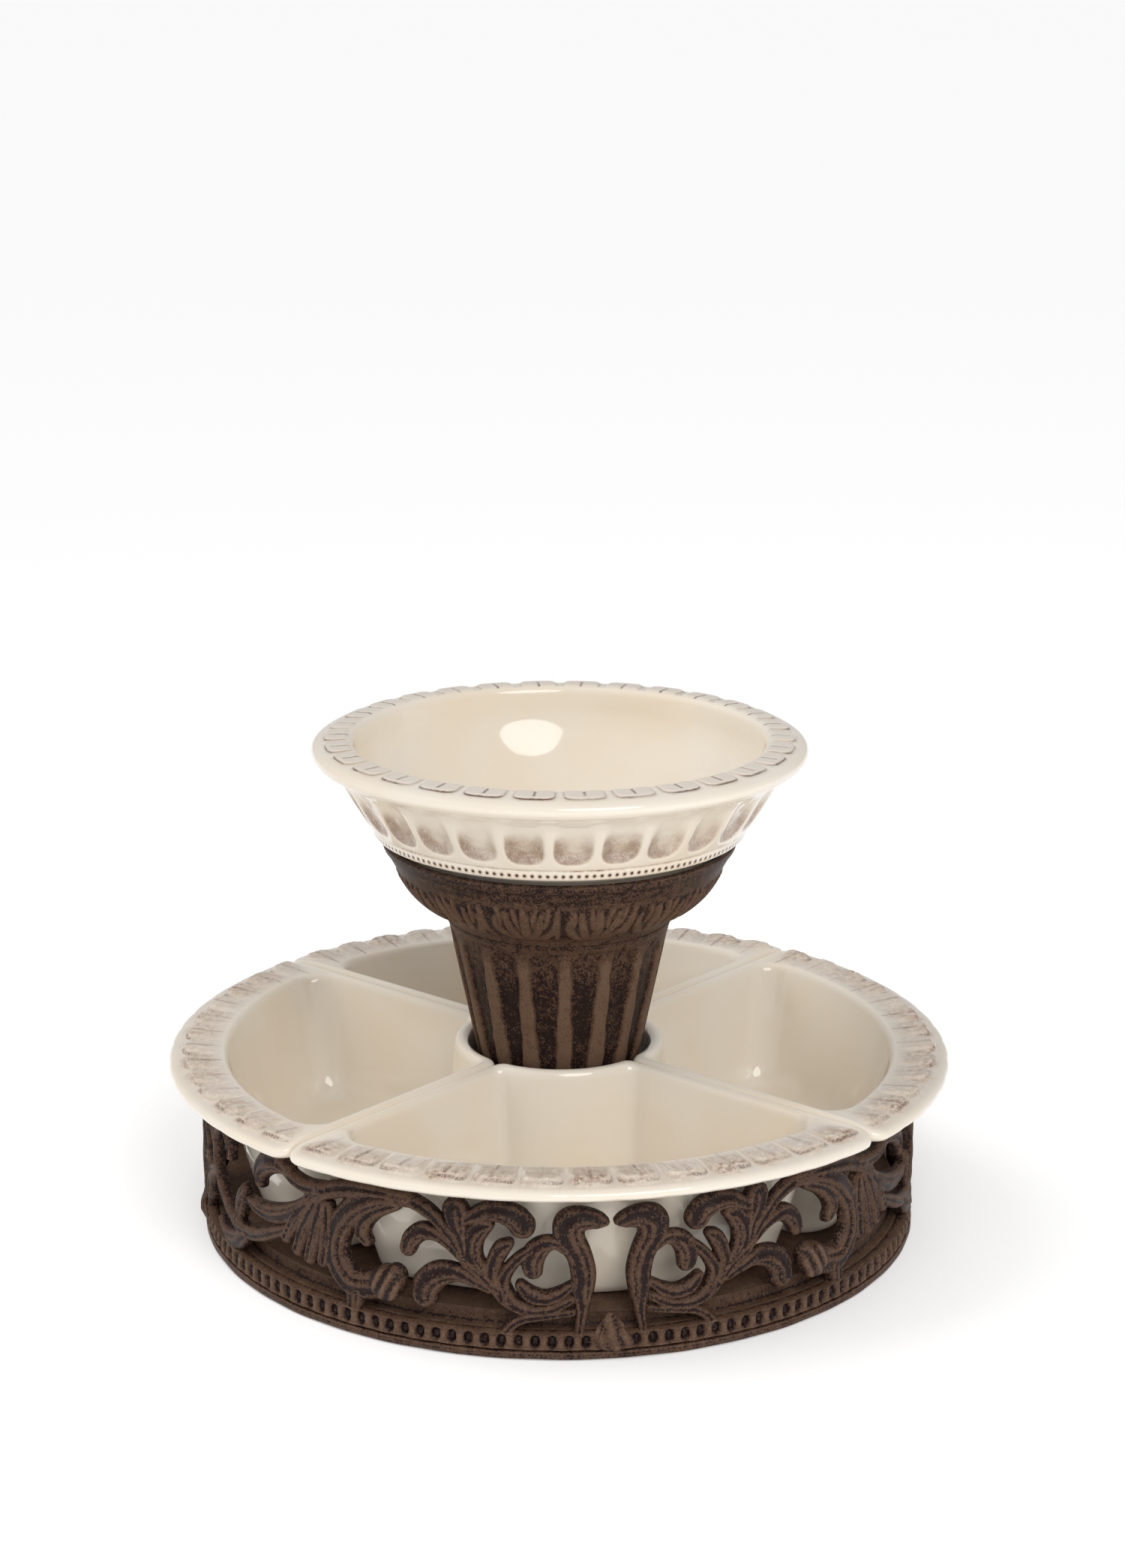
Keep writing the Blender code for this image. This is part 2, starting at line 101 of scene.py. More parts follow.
def stroke_places(s, z, line):
    """Distance to a stroke's edge (negative inside), and to its middle line, and its half width there.

    The distance to the middle line has a sign that says which side of the line a place is on.
    """
    best = np.full(s.shape, 1e9)
    middle = np.full(s.shape, 1e9)
    width = np.ones(s.shape)
    for (s0, z0, w0), (s1, z1, w1) in zip(line, line[1:]):
        ds, dz = s1 - s0, z1 - z0
        t = np.clip(((s - s0) * ds + (z - z0) * dz) / (ds * ds + dz * dz + 1e-12), 0, 1)
        off_s, off_z = s - s0 - t * ds, z - z0 - t * dz
        local = w0 + t * (w1 - w0)
        gap = np.hypot(off_s, off_z)
        closer = gap - local < best
        side = np.sign(ds * off_z - dz * off_s)
        best = np.where(closer, gap - local, best)
        middle = np.where(closer, gap * side, middle)
        width = np.where(closer, local, width)
    return best, middle, width


# Mesh making


def grid_faces(rows, columns, wrap_rows=False):
    """Quads of a grid whose columns close round the axis, and whose rows close too with wrap_rows."""
    r = np.arange(rows if wrap_rows else rows - 1)
    c = np.arange(columns)
    rr, cc = np.meshgrid(r, c, indexing="ij")
    low, high = rr * columns, (rr + 1) % rows * columns
    after = (cc + 1) % columns
    return np.stack([low + cc, low + after, high + after, high + cc], -1).reshape(-1, 4).tolist()


def capped_faces(rows, columns):
    """Quads of a grid whose columns close round the axis, with a flat face over each open end."""
    faces = grid_faces(rows, columns)
    faces.append(list(range(columns))[::-1])
    faces.append(list(range((rows - 1) * columns, rows * columns)))
    return faces


def add_piece(name, points, faces, surface, body, nodes=(), marks=None, sharp=50.0):
    """One piece from points in millimetres, with per-point values for its material in marks."""
    mesh = bpy.data.meshes.new(name)
    mesh.from_pydata((np.asarray(points) * MM).tolist(), [], faces)
    for mark, values in (marks or {}).items():
        layer = mesh.attributes.new(mark, "FLOAT", "POINT")
        layer.data.foreach_set("value", np.asarray(values, np.float32).ravel())
    mesh.materials.append(surface)
    mesh.validate()
    mesh.shade_smooth()
    mesh.set_sharp_from_angle(angle=math.radians(sharp))
    piece = bpy.data.objects.new(name, mesh)
    bpy.context.collection.objects.link(piece)
    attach(piece, body)
    if nodes:
        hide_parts(*nodes)


def polar_points(r, azimuth, z):
    """Points from radii, azimuths in degrees and heights."""
    a = np.radians(azimuth)
    return np.stack([r * np.sin(a), -r * np.cos(a), z + 0 * a], -1).reshape(-1, 3)


def turned_grid(r, z, columns):
    """Radii, azimuths and heights of an outline turned about Z."""
    azimuth = np.arange(columns) * 360.0 / columns
    rr, aa = np.meshgrid(r, azimuth, indexing="ij")
    return rr, aa, np.repeat(z[:, None], columns, axis=1)


def turned_piece(name, outline, columns, relief, surface, body, nodes=(), close=False, sharp=50.0):
    """Turn an outline, with relief(r, z, azimuth) giving a height along the normal and the marks.

    close joins the outline's two ends; otherwise flat caps end it near the axis.
    """
    r, z = outline[:, 0], outline[:, 1]
    n_r, n_z = line_normals(r, z)
    rr, aa, zz = turned_grid(r, z, columns)
    height, marks = relief(rr, zz, aa)
    points = polar_points(rr + n_r[:, None] * height, aa, zz + n_z[:, None] * height)
    faces = grid_faces(len(r), columns, True) if close else capped_faces(len(r), columns)
    add_piece(name, points, faces, surface, body, nodes, marks, sharp)


def small_solid(name, outline, columns, centre, surface, nodes=(), relief=None):
    """A capped solid of the stand, turned about an upright line at centre (radius, azimuth)."""
    r, z = np.array(outline).T
    points = polar_points(*turned_grid(r, z, columns)) + polar_points(*centre, 0.0)
    marks = None if relief is None else {"relief": np.full(len(points), relief)}
    add_piece(name, points, capped_faces(len(r), columns), surface, "stand", nodes, marks)


# Materials


class Nodes:
    """Short calls for building one material's node tree."""

    def __init__(self, name):
        self.material = bpy.data.materials.new(name)
        self.material.use_nodes = True
        self.tree = self.material.node_tree
        self.shader = self.tree.nodes["Principled BSDF"]

    def put(self, socket, value):
        """Link or set one input. A tuple is a colour of three values and gets full alpha."""
        if isinstance(value, bpy.types.NodeSocket):
            self.tree.links.new(value, socket)
        elif isinstance(value, tuple):
            socket.default_value = (*value, 1.0)
        else:
            socket.default_value = value

    def add(self, kind, inputs=None, **settings):
        node = self.tree.nodes.new(kind)
        for key, value in settings.items():
            setattr(node, key, value)
        for key, value in (inputs or {}).items():
            self.put(node.inputs[key], value)
        return node

    def maths(self, operation, a, b=0.0, clamp=False):
        return self.add("ShaderNodeMath", {0: a, 1: b}, operation=operation, use_clamp=clamp).outputs[0]

    def plus(self, a, b):
        return self.maths("ADD", a, b)

    def minus(self, a, b):
        return self.maths("SUBTRACT", a, b)

    def times(self, a, b, clamp=False):
        return self.maths("MULTIPLY", a, b, clamp)

    def over(self, a, b):
        return self.maths("DIVIDE", a, b)

    def scaled(self, value, gain, offset):
        """value times gain, plus offset."""
        return self.plus(self.times(value, gain), offset)

    def noise(self, scale, detail=3.0, rough=0.5, place=None):
        if place is None:
            place = self.add("ShaderNodeTexCoord").outputs["Object"]
        return self.add("ShaderNodeTexNoise", {"Vector": place, "Scale": scale, "Detail": detail,
                                               "Roughness": rough}).outputs["Fac"]

    def mark(self, name):
        """A per-point value that add_piece stored on the mesh."""
        return self.add("ShaderNodeAttribute", attribute_name=name).outputs["Fac"]

    def ramp(self, value, low, high):
        """0 below low, 1 above high, smooth between."""
        return self.add("ShaderNodeMapRange", {"Value": value, "From Min": low, "From Max": high},
                        interpolation_type="SMOOTHSTEP").outputs["Result"]

    def fall(self, value, low, high):
        """1 below low, 0 above high, smooth between."""
        return self.minus(1.0, self.ramp(value, low, high))

    def mix(self, share, a, b):
        return self.add("ShaderNodeMix", {0: share, 6: a, 7: b}, data_type="RGBA").outputs[2]

    def finish(self, colour, roughness, texture=None, depth=0.0, strength=0.0, fixed=None):
        """Set the shader, with texture as a bump of that depth in metres, and return the material."""
        for key, value in {"Base Color": colour, "Roughness": roughness, **(fixed or {})}.items():
            self.put(self.shader.inputs[key], value)
        if texture is not None:
            node = self.add("ShaderNodeBump", {"Height": texture, "Distance": depth, "Strength": strength})
            self.put(self.shader.inputs["Normal"], node.outputs["Normal"])
        return self.material


GLAZE = (0.790, 0.725, 0.625)
GLAZE_WARM = (0.785, 0.690, 0.560)
GLAZE_GREY = (0.600, 0.530, 0.455)
WASH_TAN = (0.360, 0.235, 0.155)
WASH_DARK = (0.105, 0.056, 0.045)
LINE_BROWN = (0.115, 0.058, 0.042)
STREAK_GREY = (0.400, 0.285, 0.225)
DOT_DARK = (0.045, 0.022, 0.018)

PATINA = (0.082, 0.045, 0.028)
PATINA_TAN = (0.135, 0.082, 0.053)
PATINA_DARK = (0.0150, 0.0078, 0.0072)
STEEL_DARK, STEEL_LIGHT = (0.30, 0.30, 0.31), (0.46, 0.46, 0.45)
RUBBER, RUBBER_DUSTY = (0.018, 0.018, 0.018), (0.045, 0.044, 0.042)

# How the brown lines of a row of pressed tiles are drawn. radii, in millimetres, bound a tile. Other
# lengths are shares of its half pitch or of its length. A wobble is (noise scale, reach), patches are
# (noise scale, low, high), and a gain is (factor, offset).
BOWL_LINES = {
    "radii": (TILE_START, TILE_END), "tip": (TIP_FROM, TIP_LENGTH), "half_width": SIDE_WIDTH,
    "wobble": (300, 0.05), "outline": (0.024, 0.100), "middle": (0.030, 0.090), "middle_end": (0.70, 0.80),
    "middle_share": 0.78, "ends": (0.55, 0.95), "ends_gain": (0.55, 0.58),
    "patches": (60, 0.35, 0.6), "patch_gain": (0.5, 0.5),
}
DISH_LINES = {
    "radii": (DISH_TILE_START, DISH_TILE_END), "tip": (0.50, 0.44), "half_width": 0.88,
    "wobble": (260, 0.16), "outline": (0.02, 0.10), "middle": (0.03, 0.10), "middle_end": (0.80, 0.92),
    "middle_share": 0.60, "ends": (0.45, 0.95), "ends_gain": (0.62, 0.22),
    "patches": (55, 0.40, 0.58), "patch_gain": (0.75, 0.25),
}


def polar_place(n):
    """Azimuth from the front in radians, distance from the axis and height, in metres."""
    x, y, z = n.add("ShaderNodeSeparateXYZ", {0: n.add("ShaderNodeTexCoord").outputs["Object"]}).outputs
    azimuth = n.maths("ARCTAN2", x, n.times(y, -1.0))
    radius = n.maths("SQRT", n.plus(n.times(x, x), n.times(y, y)))
    return azimuth, radius, z


def glaze_colour(n):
    """Cream, a little warmer where it pools, and greyer on the pressed rims."""
    cloud = n.ramp(n.noise(14, 4), 0.35, 0.7)
    cream = n.mix(cloud, GLAZE, GLAZE_WARM)
    return n.mix(n.times(n.mark("rim"), 0.8), cream, GLAZE_GREY)


def wash_over(n, cream):
    """Brown wash caught in the pressed pattern: smudged tan, with dark grains where it is thick."""
    wash = n.mark("wash")
    smudge = n.ramp(n.noise(260, 5, 0.75), 0.36, 0.62)
    grains = n.ramp(n.noise(1000, 2, 0.6), 0.44, 0.60)
    tan_share = n.times(wash, n.scaled(smudge, 0.8, 0.2), True)
    dark_share = n.times(n.ramp(n.times(wash, smudge), 0.60, 1.05), n.scaled(grains, 0.7, 0.2), True)
    washed = n.mix(n.times(tan_share, 0.9), cream, WASH_TAN)
    return n.mix(dark_share, washed, WASH_DARK)


def streaks_over(n, under):
    """Fine brushed streaks that run outwards across the dishes' rims."""
    azimuth, radius = polar_place(n)[:2]
    place = n.add("ShaderNodeCombineXYZ", {0: n.times(azimuth, 125.0), 1: n.times(radius, 34.0)})
    streak = n.noise(1.0, 3, place=place.outputs[0])
    patch = n.ramp(n.noise(38, 3), 0.40, 0.60)
    share = n.times(n.ramp(streak, 0.50, 0.64), n.times(n.mark("rim"), n.scaled(patch, 0.16, 0.02)))
    return n.mix(share, under, STREAK_GREY)


def speckle_over(n, under):
    """Sponged brown speckle in the scoops of the bowl's wall."""
    amount = n.mark("speckle")
    soft = n.ramp(n.noise(170, 4, 0.65), 0.34, 0.62)
    grains = n.ramp(n.plus(n.noise(1050, 2, 0.7), n.times(amount, 0.12)), 0.46, 0.70)
    veil = n.times(n.ramp(amount, 0.05, 1.0), n.scaled(soft, 0.35, 0.52))
    tinted = n.mix(veil, under, WASH_TAN)
    share = n.times(grains, n.ramp(amount, 0.25, 1.1))
    return n.mix(n.times(share, 0.42), tinted, WASH_DARK)


def tile_lines(n, place, radius, look):
    """Share of brown on a row of pressed tiles: their outlines and the groove down each middle.

    place counts tiles round the row, and look is BOWL_LINES or DISH_LINES.
    """
    across = n.maths("ABSOLUTE", n.scaled(n.maths("FRACT", place), 2.0, -1.0))
    start, end = look["radii"]
    tip_from, tip_length = look["tip"]
    outward = n.over(n.minus(radius, start * MM), (end - start) * MM)
    tip = n.over(n.maths("MAXIMUM", n.minus(outward, tip_from), 0.0), tip_length)
    side = n.over(across, look["half_width"])
    shape = n.plus(n.maths("POWER", side, 4.0), n.maths("POWER", tip, 4.0))
    off = n.maths("ABSOLUTE", n.minus(n.maths("POWER", shape, 0.25), 1.0))
    wobble_scale, wobble_reach = look["wobble"]
    wobble = n.times(n.minus(n.noise(wobble_scale, 3), 0.5), wobble_reach)
    outline = n.fall(n.plus(off, wobble), *look["outline"])
    middle = n.times(n.fall(n.plus(across, wobble), *look["middle"]), n.fall(outward, *look["middle_end"]))
    ends = n.scaled(n.ramp(outward, *look["ends"]), *look["ends_gain"])
    patch_scale, patch_low, patch_high = look["patches"]
    patchy = n.scaled(n.ramp(n.noise(patch_scale, 3), patch_low, patch_high), *look["patch_gain"])
    lines = n.maths("MAXIMUM", n.times(outline, ends), n.times(middle, look["middle_share"]))
    return n.times(lines, patchy)


def bowl_lines_over(n, under):
    """Thin brown outlines of the pressed tiles on the bowl's rim, and the groove down each middle."""
    azimuth, radius, height = polar_place(n)
    lines = tile_lines(n, n.times(azimuth, BOWL_TILES / (2 * math.pi)), radius, BOWL_LINES)
    share = n.times(lines, n.ramp(n.mark("rim"), 0.25, 0.5), True)
    return n.mix(n.times(share, n.ramp(height, 0.2835, 0.2855)), under, LINE_BROWN)


def dish_lines_over(n, under):
    """Broken brown outline at the outer end of each dish rim's pad, and a line down its middle groove."""
    azimuth, radius = polar_place(n)[:2]
    turn = n.maths("FRACT", n.scaled(azimuth, 2 / math.pi, 0.5 - DISH_AZIMUTH / 90))
    place = n.times(n.scaled(turn, 90.0, DISH_HALF - 45.0), DISH_TILES / (2 * DISH_HALF))
    grains = n.scaled(n.ramp(n.noise(900, 2), 0.40, 0.60), 0.6, 0.4)
    shown = n.times(n.ramp(n.mark("rim"), 0.2, 0.45), grains)
    return n.mix(n.times(tile_lines(n, place, radius, DISH_LINES), shown, True), under, LINE_BROWN)


def dots_over(n, under):
    """A row of tiny drilled dots that hold dark wash, on the bowl's plain band."""
    azimuth, _, height = polar_place(n)
    phase = n.maths("FRACT", n.times(azimuth, BOWL_DOTS / (2 * math.pi)))
    across = n.times(n.minus(phase, 0.5), 2 * math.pi * DOT_R * MM / BOWL_DOTS)
    upward = n.minus(height, DOT_Z * MM)
    gap = n.maths("SQRT", n.plus(n.times(across, across), n.times(upward, upward)))
    smear = n.times(n.noise(700, 2), 0.0009)
    hole = n.fall(gap, 0.00060, 0.00108)
    halo = n.fall(n.plus(gap, smear), 0.0011, 0.0026)
    stained = n.mix(n.times(n.times(halo, 0.75), n.mark("band")), under, WASH_TAN)
    return n.mix(n.times(hole, n.mark("band")), stained, DOT_DARK)


def glaze_material(name, for_bowl):
    n = Nodes(name)
    colour = glaze_colour(n)
    if for_bowl:
        colour = dots_over(n, bowl_lines_over(n, speckle_over(n, wash_over(n, colour))))
    else:
        colour = dish_lines_over(n, wash_over(n, streaks_over(n, colour)))
    roughness = n.plus(n.times(n.mark("wash"), 0.22), n.times(n.noise(60, 2), 0.06))
    roughness = n.plus(roughness, n.scaled(n.mark("rim"), 0.12, 0.05))
    return n.finish(colour, roughness, n.noise(45, 2), 0.0006, 0.25,
                    {"IOR": 1.5, "Coat Weight": 0.3, "Coat Roughness": 0.05})


def patina_material():
    """Cast metal under a sponged brown patina: dark in the grooves and rubbed lighter on the ridges."""
    n = Nodes("brown_patina")
    relief = n.mark("relief")
    cloud = n.noise(30, 4, 0.6)
    sponge = n.noise(240, 3, 0.65)
    grain = n.noise(820, 2, 0.6)
    spread = n.plus(n.times(n.minus(sponge, 0.5), 0.9), n.times(n.minus(grain, 0.5), 1.5))
    spread = n.times(spread, n.minus(1.15, n.times(relief, 0.7)))
    lift = n.plus(n.plus(relief, spread), n.times(n.minus(cloud, 0.5), 0.35))
    brown = n.mix(n.ramp(lift, 0.24, 0.50), PATINA_DARK, PATINA)
    colour = n.mix(n.ramp(lift, 0.55, 0.95), brown, PATINA_TAN)
    roughness = n.scaled(n.ramp(lift, 0.2, 0.7), 0.18, 0.40)
    texture = n.plus(n.times(sponge, 0.6), n.times(grain, 0.4))
    return n.finish(colour, roughness, texture, 0.0008, 0.5,
                    {"Metallic": 0.0, "IOR": 1.5, "Specular IOR Level": 0.13})


def steel_material():
    n = Nodes("plated_steel")
    cloud = n.noise(160, 4, 0.6)
    return n.finish(n.mix(cloud, STEEL_DARK, STEEL_LIGHT), n.scaled(cloud, 0.25, 0.22), n.noise(900, 2),
                    0.0001, 0.3, {"Metallic": 1.0})


def rubber_material():
    n = Nodes("black_rubber")
    dust = n.ramp(n.noise(120, 5, 0.7), 0.5, 0.8)
    return n.finish(n.mix(dust, RUBBER, RUBBER_DUSTY), n.scaled(dust, 0.15, 0.7), n.noise(1500, 3),
                    0.0001, 0.4)


# Dip bowl

BOWL_SCOOPS = 28
BOWL_OUTLINE = [(6, 213.5), (40, 213.5), (54, 213.3), (58.5, 210), (61.3, 202), (62.5, 199.8), (65, 199.6),
                (67.5, 199.8), (69.3, 202), (72, 205), (80, 210.8), (87.5, 217.5), (92.8, 225), (95.6, 230.5),
                (98, 233.2), (102.5, 234.6), (106.2, 235.5), (107.9, 237), (108.7, 239), (109.6, 241.2),
                (111.5, 244), (115.4, 250), (120.2, 257.8), (124.2, 265), (127.6, 270.8), (132, 275.2),
                (137, 278.2), (140.8, 280.6), (142.4, 283.8), (141.5, 286.8), (138.2, 288.5), (133.5, 289.4),
                (127, 290), (122.6, 290.3), (119.8, 289.6), (118.4, 287.4), (117.9, 283), (117.3, 274),
                (115, 265.5), (111, 257), (106, 248.6), (99.5, 240), (91, 232), (79, 225.2), (62, 221.6),
                (40, 220.3), (6, 220)]


def tile_pattern(across, outward):
    """Pad, groove and edge of one pressed tile. across is -1..1 over its pitch, outward 0..1 to its end."""
    tip = np.clip(outward - TIP_FROM, 0, None) / TIP_LENGTH
    shape = ((np.abs(across) / SIDE_WIDTH) ** 4 + tip ** 4) ** 0.25
    pad = smooth_step(1.05, 0.84, shape) * smooth_step(0.0, 0.2, outward)
    groove = bump(across, 0.07) * smooth_step(0.0, 0.15, outward) * smooth_step(0.84, 0.7, outward)
    edge = bump(shape - 1.03, 0.07) * smooth_step(0.0, 0.2, outward)
    return pad, groove, edge


def bowl_relief(r, z, azimuth):
    on_top = (z > 284.5) & (r > 119.0)
    across = 2 * ((azimuth * BOWL_TILES / 360) % 1) - 1
    outward = np.clip((r - TILE_START) / (TILE_END - TILE_START), 0, 1.25)
    pad, groove, edge = tile_pattern(across, outward)
    height = np.where(on_top, (0.75 + 0.75 * outward) * pad - 0.6 * groove - 0.3 * edge, 0)
    wash = np.where(on_top, 0.22 * edge + 0.05 * pad, 0)

    outside = (z > 243) & (z < 281) & (r > 109) & (r > 0.58 * (z - 243) + 106.5)
    turn = 2 * ((azimuth * BOWL_SCOOPS / 360 + 0.21) % 1) - 1
    level = (z - 245.2) / 27.5
    low_end = np.clip(0.40 - level, 0, None) / 0.40
    scoop = ((np.abs(turn) / 0.90) ** 2.8 + low_end ** 2.8) ** (1 / 2.8)
    open_top = smooth_step(1.15, 0.55, level)
    height = height - np.where(outside, 3.0 * smooth_step(1.04, 0.40, scoop) * open_top, 0)
    lip = bump(scoop - 1.10, 0.16) * open_top
    height = height + np.where(outside, 0.12 * lip, 0)
    unit = np.floor(azimuth * BOWL_SCOOPS / 360 + 0.21)
    lean = 0.5 + 0.5 * np.sin(unit * 1.9)
    heavy = smooth_step(0.1, 0.85, scoop) * smooth_step(0.95, 0.1, level) * (0.75 - 0.55 * turn)
    speckle = smooth_step(1.02, 0.80, scoop) * smooth_step(1.00, 0.40, level)
    speckle = np.where(outside, speckle * (0.34 + 0.30 * lean + 0.80 * heavy), 0)

    line = bump(z - 241.9, 0.70) * (r > 107) * (r < 113)
    low_line = bump(z - 235.9, 0.5) * (r > 104) * (r < 110)
    height = height - 0.5 * line
    band = ((z > 236.5) & (z < 241) & (r > 106) & (r < 111)).astype(float)
    patchy = 0.6 + 0.4 * np.sin(np.radians(azimuth) * 9) * np.sin(np.radians(azimuth) * 4 + 1)
    wash = np.maximum(wash, 1.25 * line * patchy)
    wash = np.maximum(wash, 0.5 * low_line)
    rim = smooth_step(118.6, 121.5, r) * smooth_step(283, 286, z)
    rim = np.maximum(0.75 * rim * (0.35 + 0.65 * pad), 0.25 * np.clip(speckle, 0, 1))
    return height, {"wash": wash, "speckle": speckle, "rim": rim, "band": band}


def dip_bowl(surface):
    def spacing(line):
        r, z = line[:, 0], line[:, 1]
        fine = ((z > 234) & (z < 279) & (r > 105)) | ((z > 284) & (r > 118))
        return np.where(fine, np.where(z < 243, 0.55, 0.9), 3.0)

    outline = resample(smooth_line(BOWL_OUTLINE), spacing)
    turned_piece("dip_bowl_ceramic", outline, 5 * BOWL_DOTS, bowl_relief, surface, "dip_bowl",
                 ("dip_bowl",))


# Quarter dishes

# Outline levels from the foot, up the outside, over the rim and down the basin: height at the outer
# arc, at the sides and at the inner arc, inner radius, outer radius, side gap and both corner radii.
DISH_LEVELS = [
    (26.0, 26.0, 26.0, 66.0, 172.0, 16.5, 6.0, 16.0),
    (24.2, 24.2, 24.2, 64.0, 174.2, 15.0, 6.0, 17.0),
    (23.9, 23.9, 23.9, 62.0, 176.0, 13.0, 6.0, 18.0),
    (24.8, 24.8, 24.8, 60.4, 178.2, 11.0, 6.6, 20.0),
    (27.5, 27.5, 27.5, 59.4, 180.0, 9.4, 7.0, 22.0),
    (45.0, 45.0, 45.0, 57.6, 185.4, 7.2, 7.0, 23.0),
    (70.0, 70.0, 70.0, 55.4, 192.4, 4.1, 7.0, 24.0),
    (90.0, 90.0, 90.0, 53.9, 198.2, 1.7, 7.0, 24.0),
    (94.2, 94.4, 94.6, 53.5, 200.6, 1.3, 7.0, 22.0),
    (95.8, 96.2, 96.6, 53.2, 208.0, 0.9, 6.4, 16.0),
    (96.4, 97.4, 97.8, 53.1, 218.0, 0.7, 6.2, 11.0),
    (97.5, 99.2, 99.4, 53.0, 224.6, 0.6, 6.0, 9.4),
    (100.2, 101.6, 101.8, 53.0, 228.2, 0.5, 6.0, 9.0),
    (102.6, 103.6, 104.0, 53.1, 228.0, 0.6, 6.0, 9.0),
    (104.3, 105.3, 105.8, 53.6, 225.6, 1.1, 6.0, 9.0),
    (104.9, 106.5, 107.0, 54.8, 221.6, 2.1, 6.1, 9.6),
    (105.2, 107.2, 107.7, 56.4, 216.5, 3.4, 6.3, 11.0),
    (105.9, 107.2, 107.8, 58.0, 208.0, 4.8, 6.6, 13.5),
    (106.5, 106.7, 107.5, 59.4, 200.5, 6.0, 7.0, 16.0),
    (106.2, 105.9, 106.6, 60.6, 197.2, 6.9, 7.4, 17.0),
    (104.6, 104.3, 104.8, 61.5, 195.2, 7.6, 8.0, 17.5),
    (101.5, 101.2, 101.6, 62.0, 194.0, 8.0, 8.0, 17.5),
    (80.0, 80.0, 80.0, 63.7, 188.6, 10.1, 8.0, 17.0),
    (58.0, 58.0, 58.0, 65.4, 183.0, 12.2, 8.0, 16.0),
    (43.0, 43.0, 43.0, 66.8, 178.8, 13.8, 8.0, 15.0),
    (36.5, 36.5, 36.5, 68.6, 175.4, 16.2, 8.0, 14.0),
    (32.8, 32.8, 32.8, 72.0, 170.6, 20.4, 8.0, 12.0),
    (31.3, 31.3, 31.3, 78.0, 163.0, 27.0, 8.0, 10.0),
    (31.2, 31.2, 31.2, 90.0, 148.0, 40.0, 8.0, 8.0),
]


# Steps round a dish: inner corner, side, outer corner, outer arc and inner arc.
DISH_COUNTS = (10, 40, 26, 300, 24)


def corner_points(radius, offset, corner, inner, steps):
    """Rounded corner between an arc about the axis and a dish's side, as radii and angles from its seam.

    offset is the side's distance from the seam, and inner picks the corner of the inner arc.
    """
    away = offset + corner
    reach = radius + corner if inner else radius - corner
    along = math.sqrt(reach * reach - away * away)
    lean = math.atan2(away, along)
    start, stop = (lean + math.pi, 1.5 * math.pi) if inner else (-0.5 * math.pi, lean)
    angles = start + (stop - start) * np.arange(steps + 1) / steps
    x, y = along + corner * np.cos(angles), away + corner * np.sin(angles)
    return np.hypot(x, y), np.degrees(np.arctan2(y, x))


def dish_ring(level):
    """One ring of a dish: radius, azimuth from the dish's middle, height and share of the outer arc."""
    z_out, z_side, z_in, r_in, r_out, side, c_in, c_out = level
    n_corner, n_side, n_outer, n_out, n_in = DISH_COUNTS
    r_a, a_a = corner_points(r_in, side, c_in, True, n_corner)
    r_b, a_b = corner_points(r_out, side, c_out, False, n_outer)
    t = np.arange(1, n_side) / n_side
    x_a, y_a = r_a[-1] * np.cos(np.radians(a_a[-1])), r_a[-1] * np.sin(np.radians(a_a[-1]))
    x_b, y_b = r_b[0] * np.cos(np.radians(a_b[0])), r_b[0] * np.sin(np.radians(a_b[0]))
    x, y = x_a + (x_b - x_a) * t, y_a + (y_b - y_a) * t
    r = np.concatenate([r_a, np.hypot(x, y), r_b])
    angle = 45 - np.concatenate([a_a, np.degrees(np.arctan2(y, x)), a_b])
    share_in = np.concatenate([1 - np.arange(n_corner + 1) / n_corner, np.zeros(len(t) + n_outer + 1)])
    share_out = np.concatenate([np.zeros(n_corner + 1 + len(t)), np.arange(n_outer + 1) / n_outer])
    share_in, share_out = smooth_step(0, 1, share_in), smooth_step(0, 1, share_out)
    z = z_side + (z_in - z_side) * share_in + (z_out - z_side) * share_out
    out_angle = angle[-1] * (1 - 2 * np.arange(1, n_out) / n_out)
    in_angle = -angle[0] * (1 - 2 * np.arange(1, n_in) / n_in)
    flat_out, flat_in = np.ones(n_out - 1), np.ones(n_in - 1)
    return (np.concatenate([r, r_out * flat_out, r[::-1], r_in * flat_in]),
            np.concatenate([angle, out_angle, -angle[::-1], in_angle]),
            np.concatenate([z, z_out * flat_out, z[::-1], z_in * flat_in]),
            np.concatenate([share_out, flat_out, share_out[::-1], 0 * flat_in]))


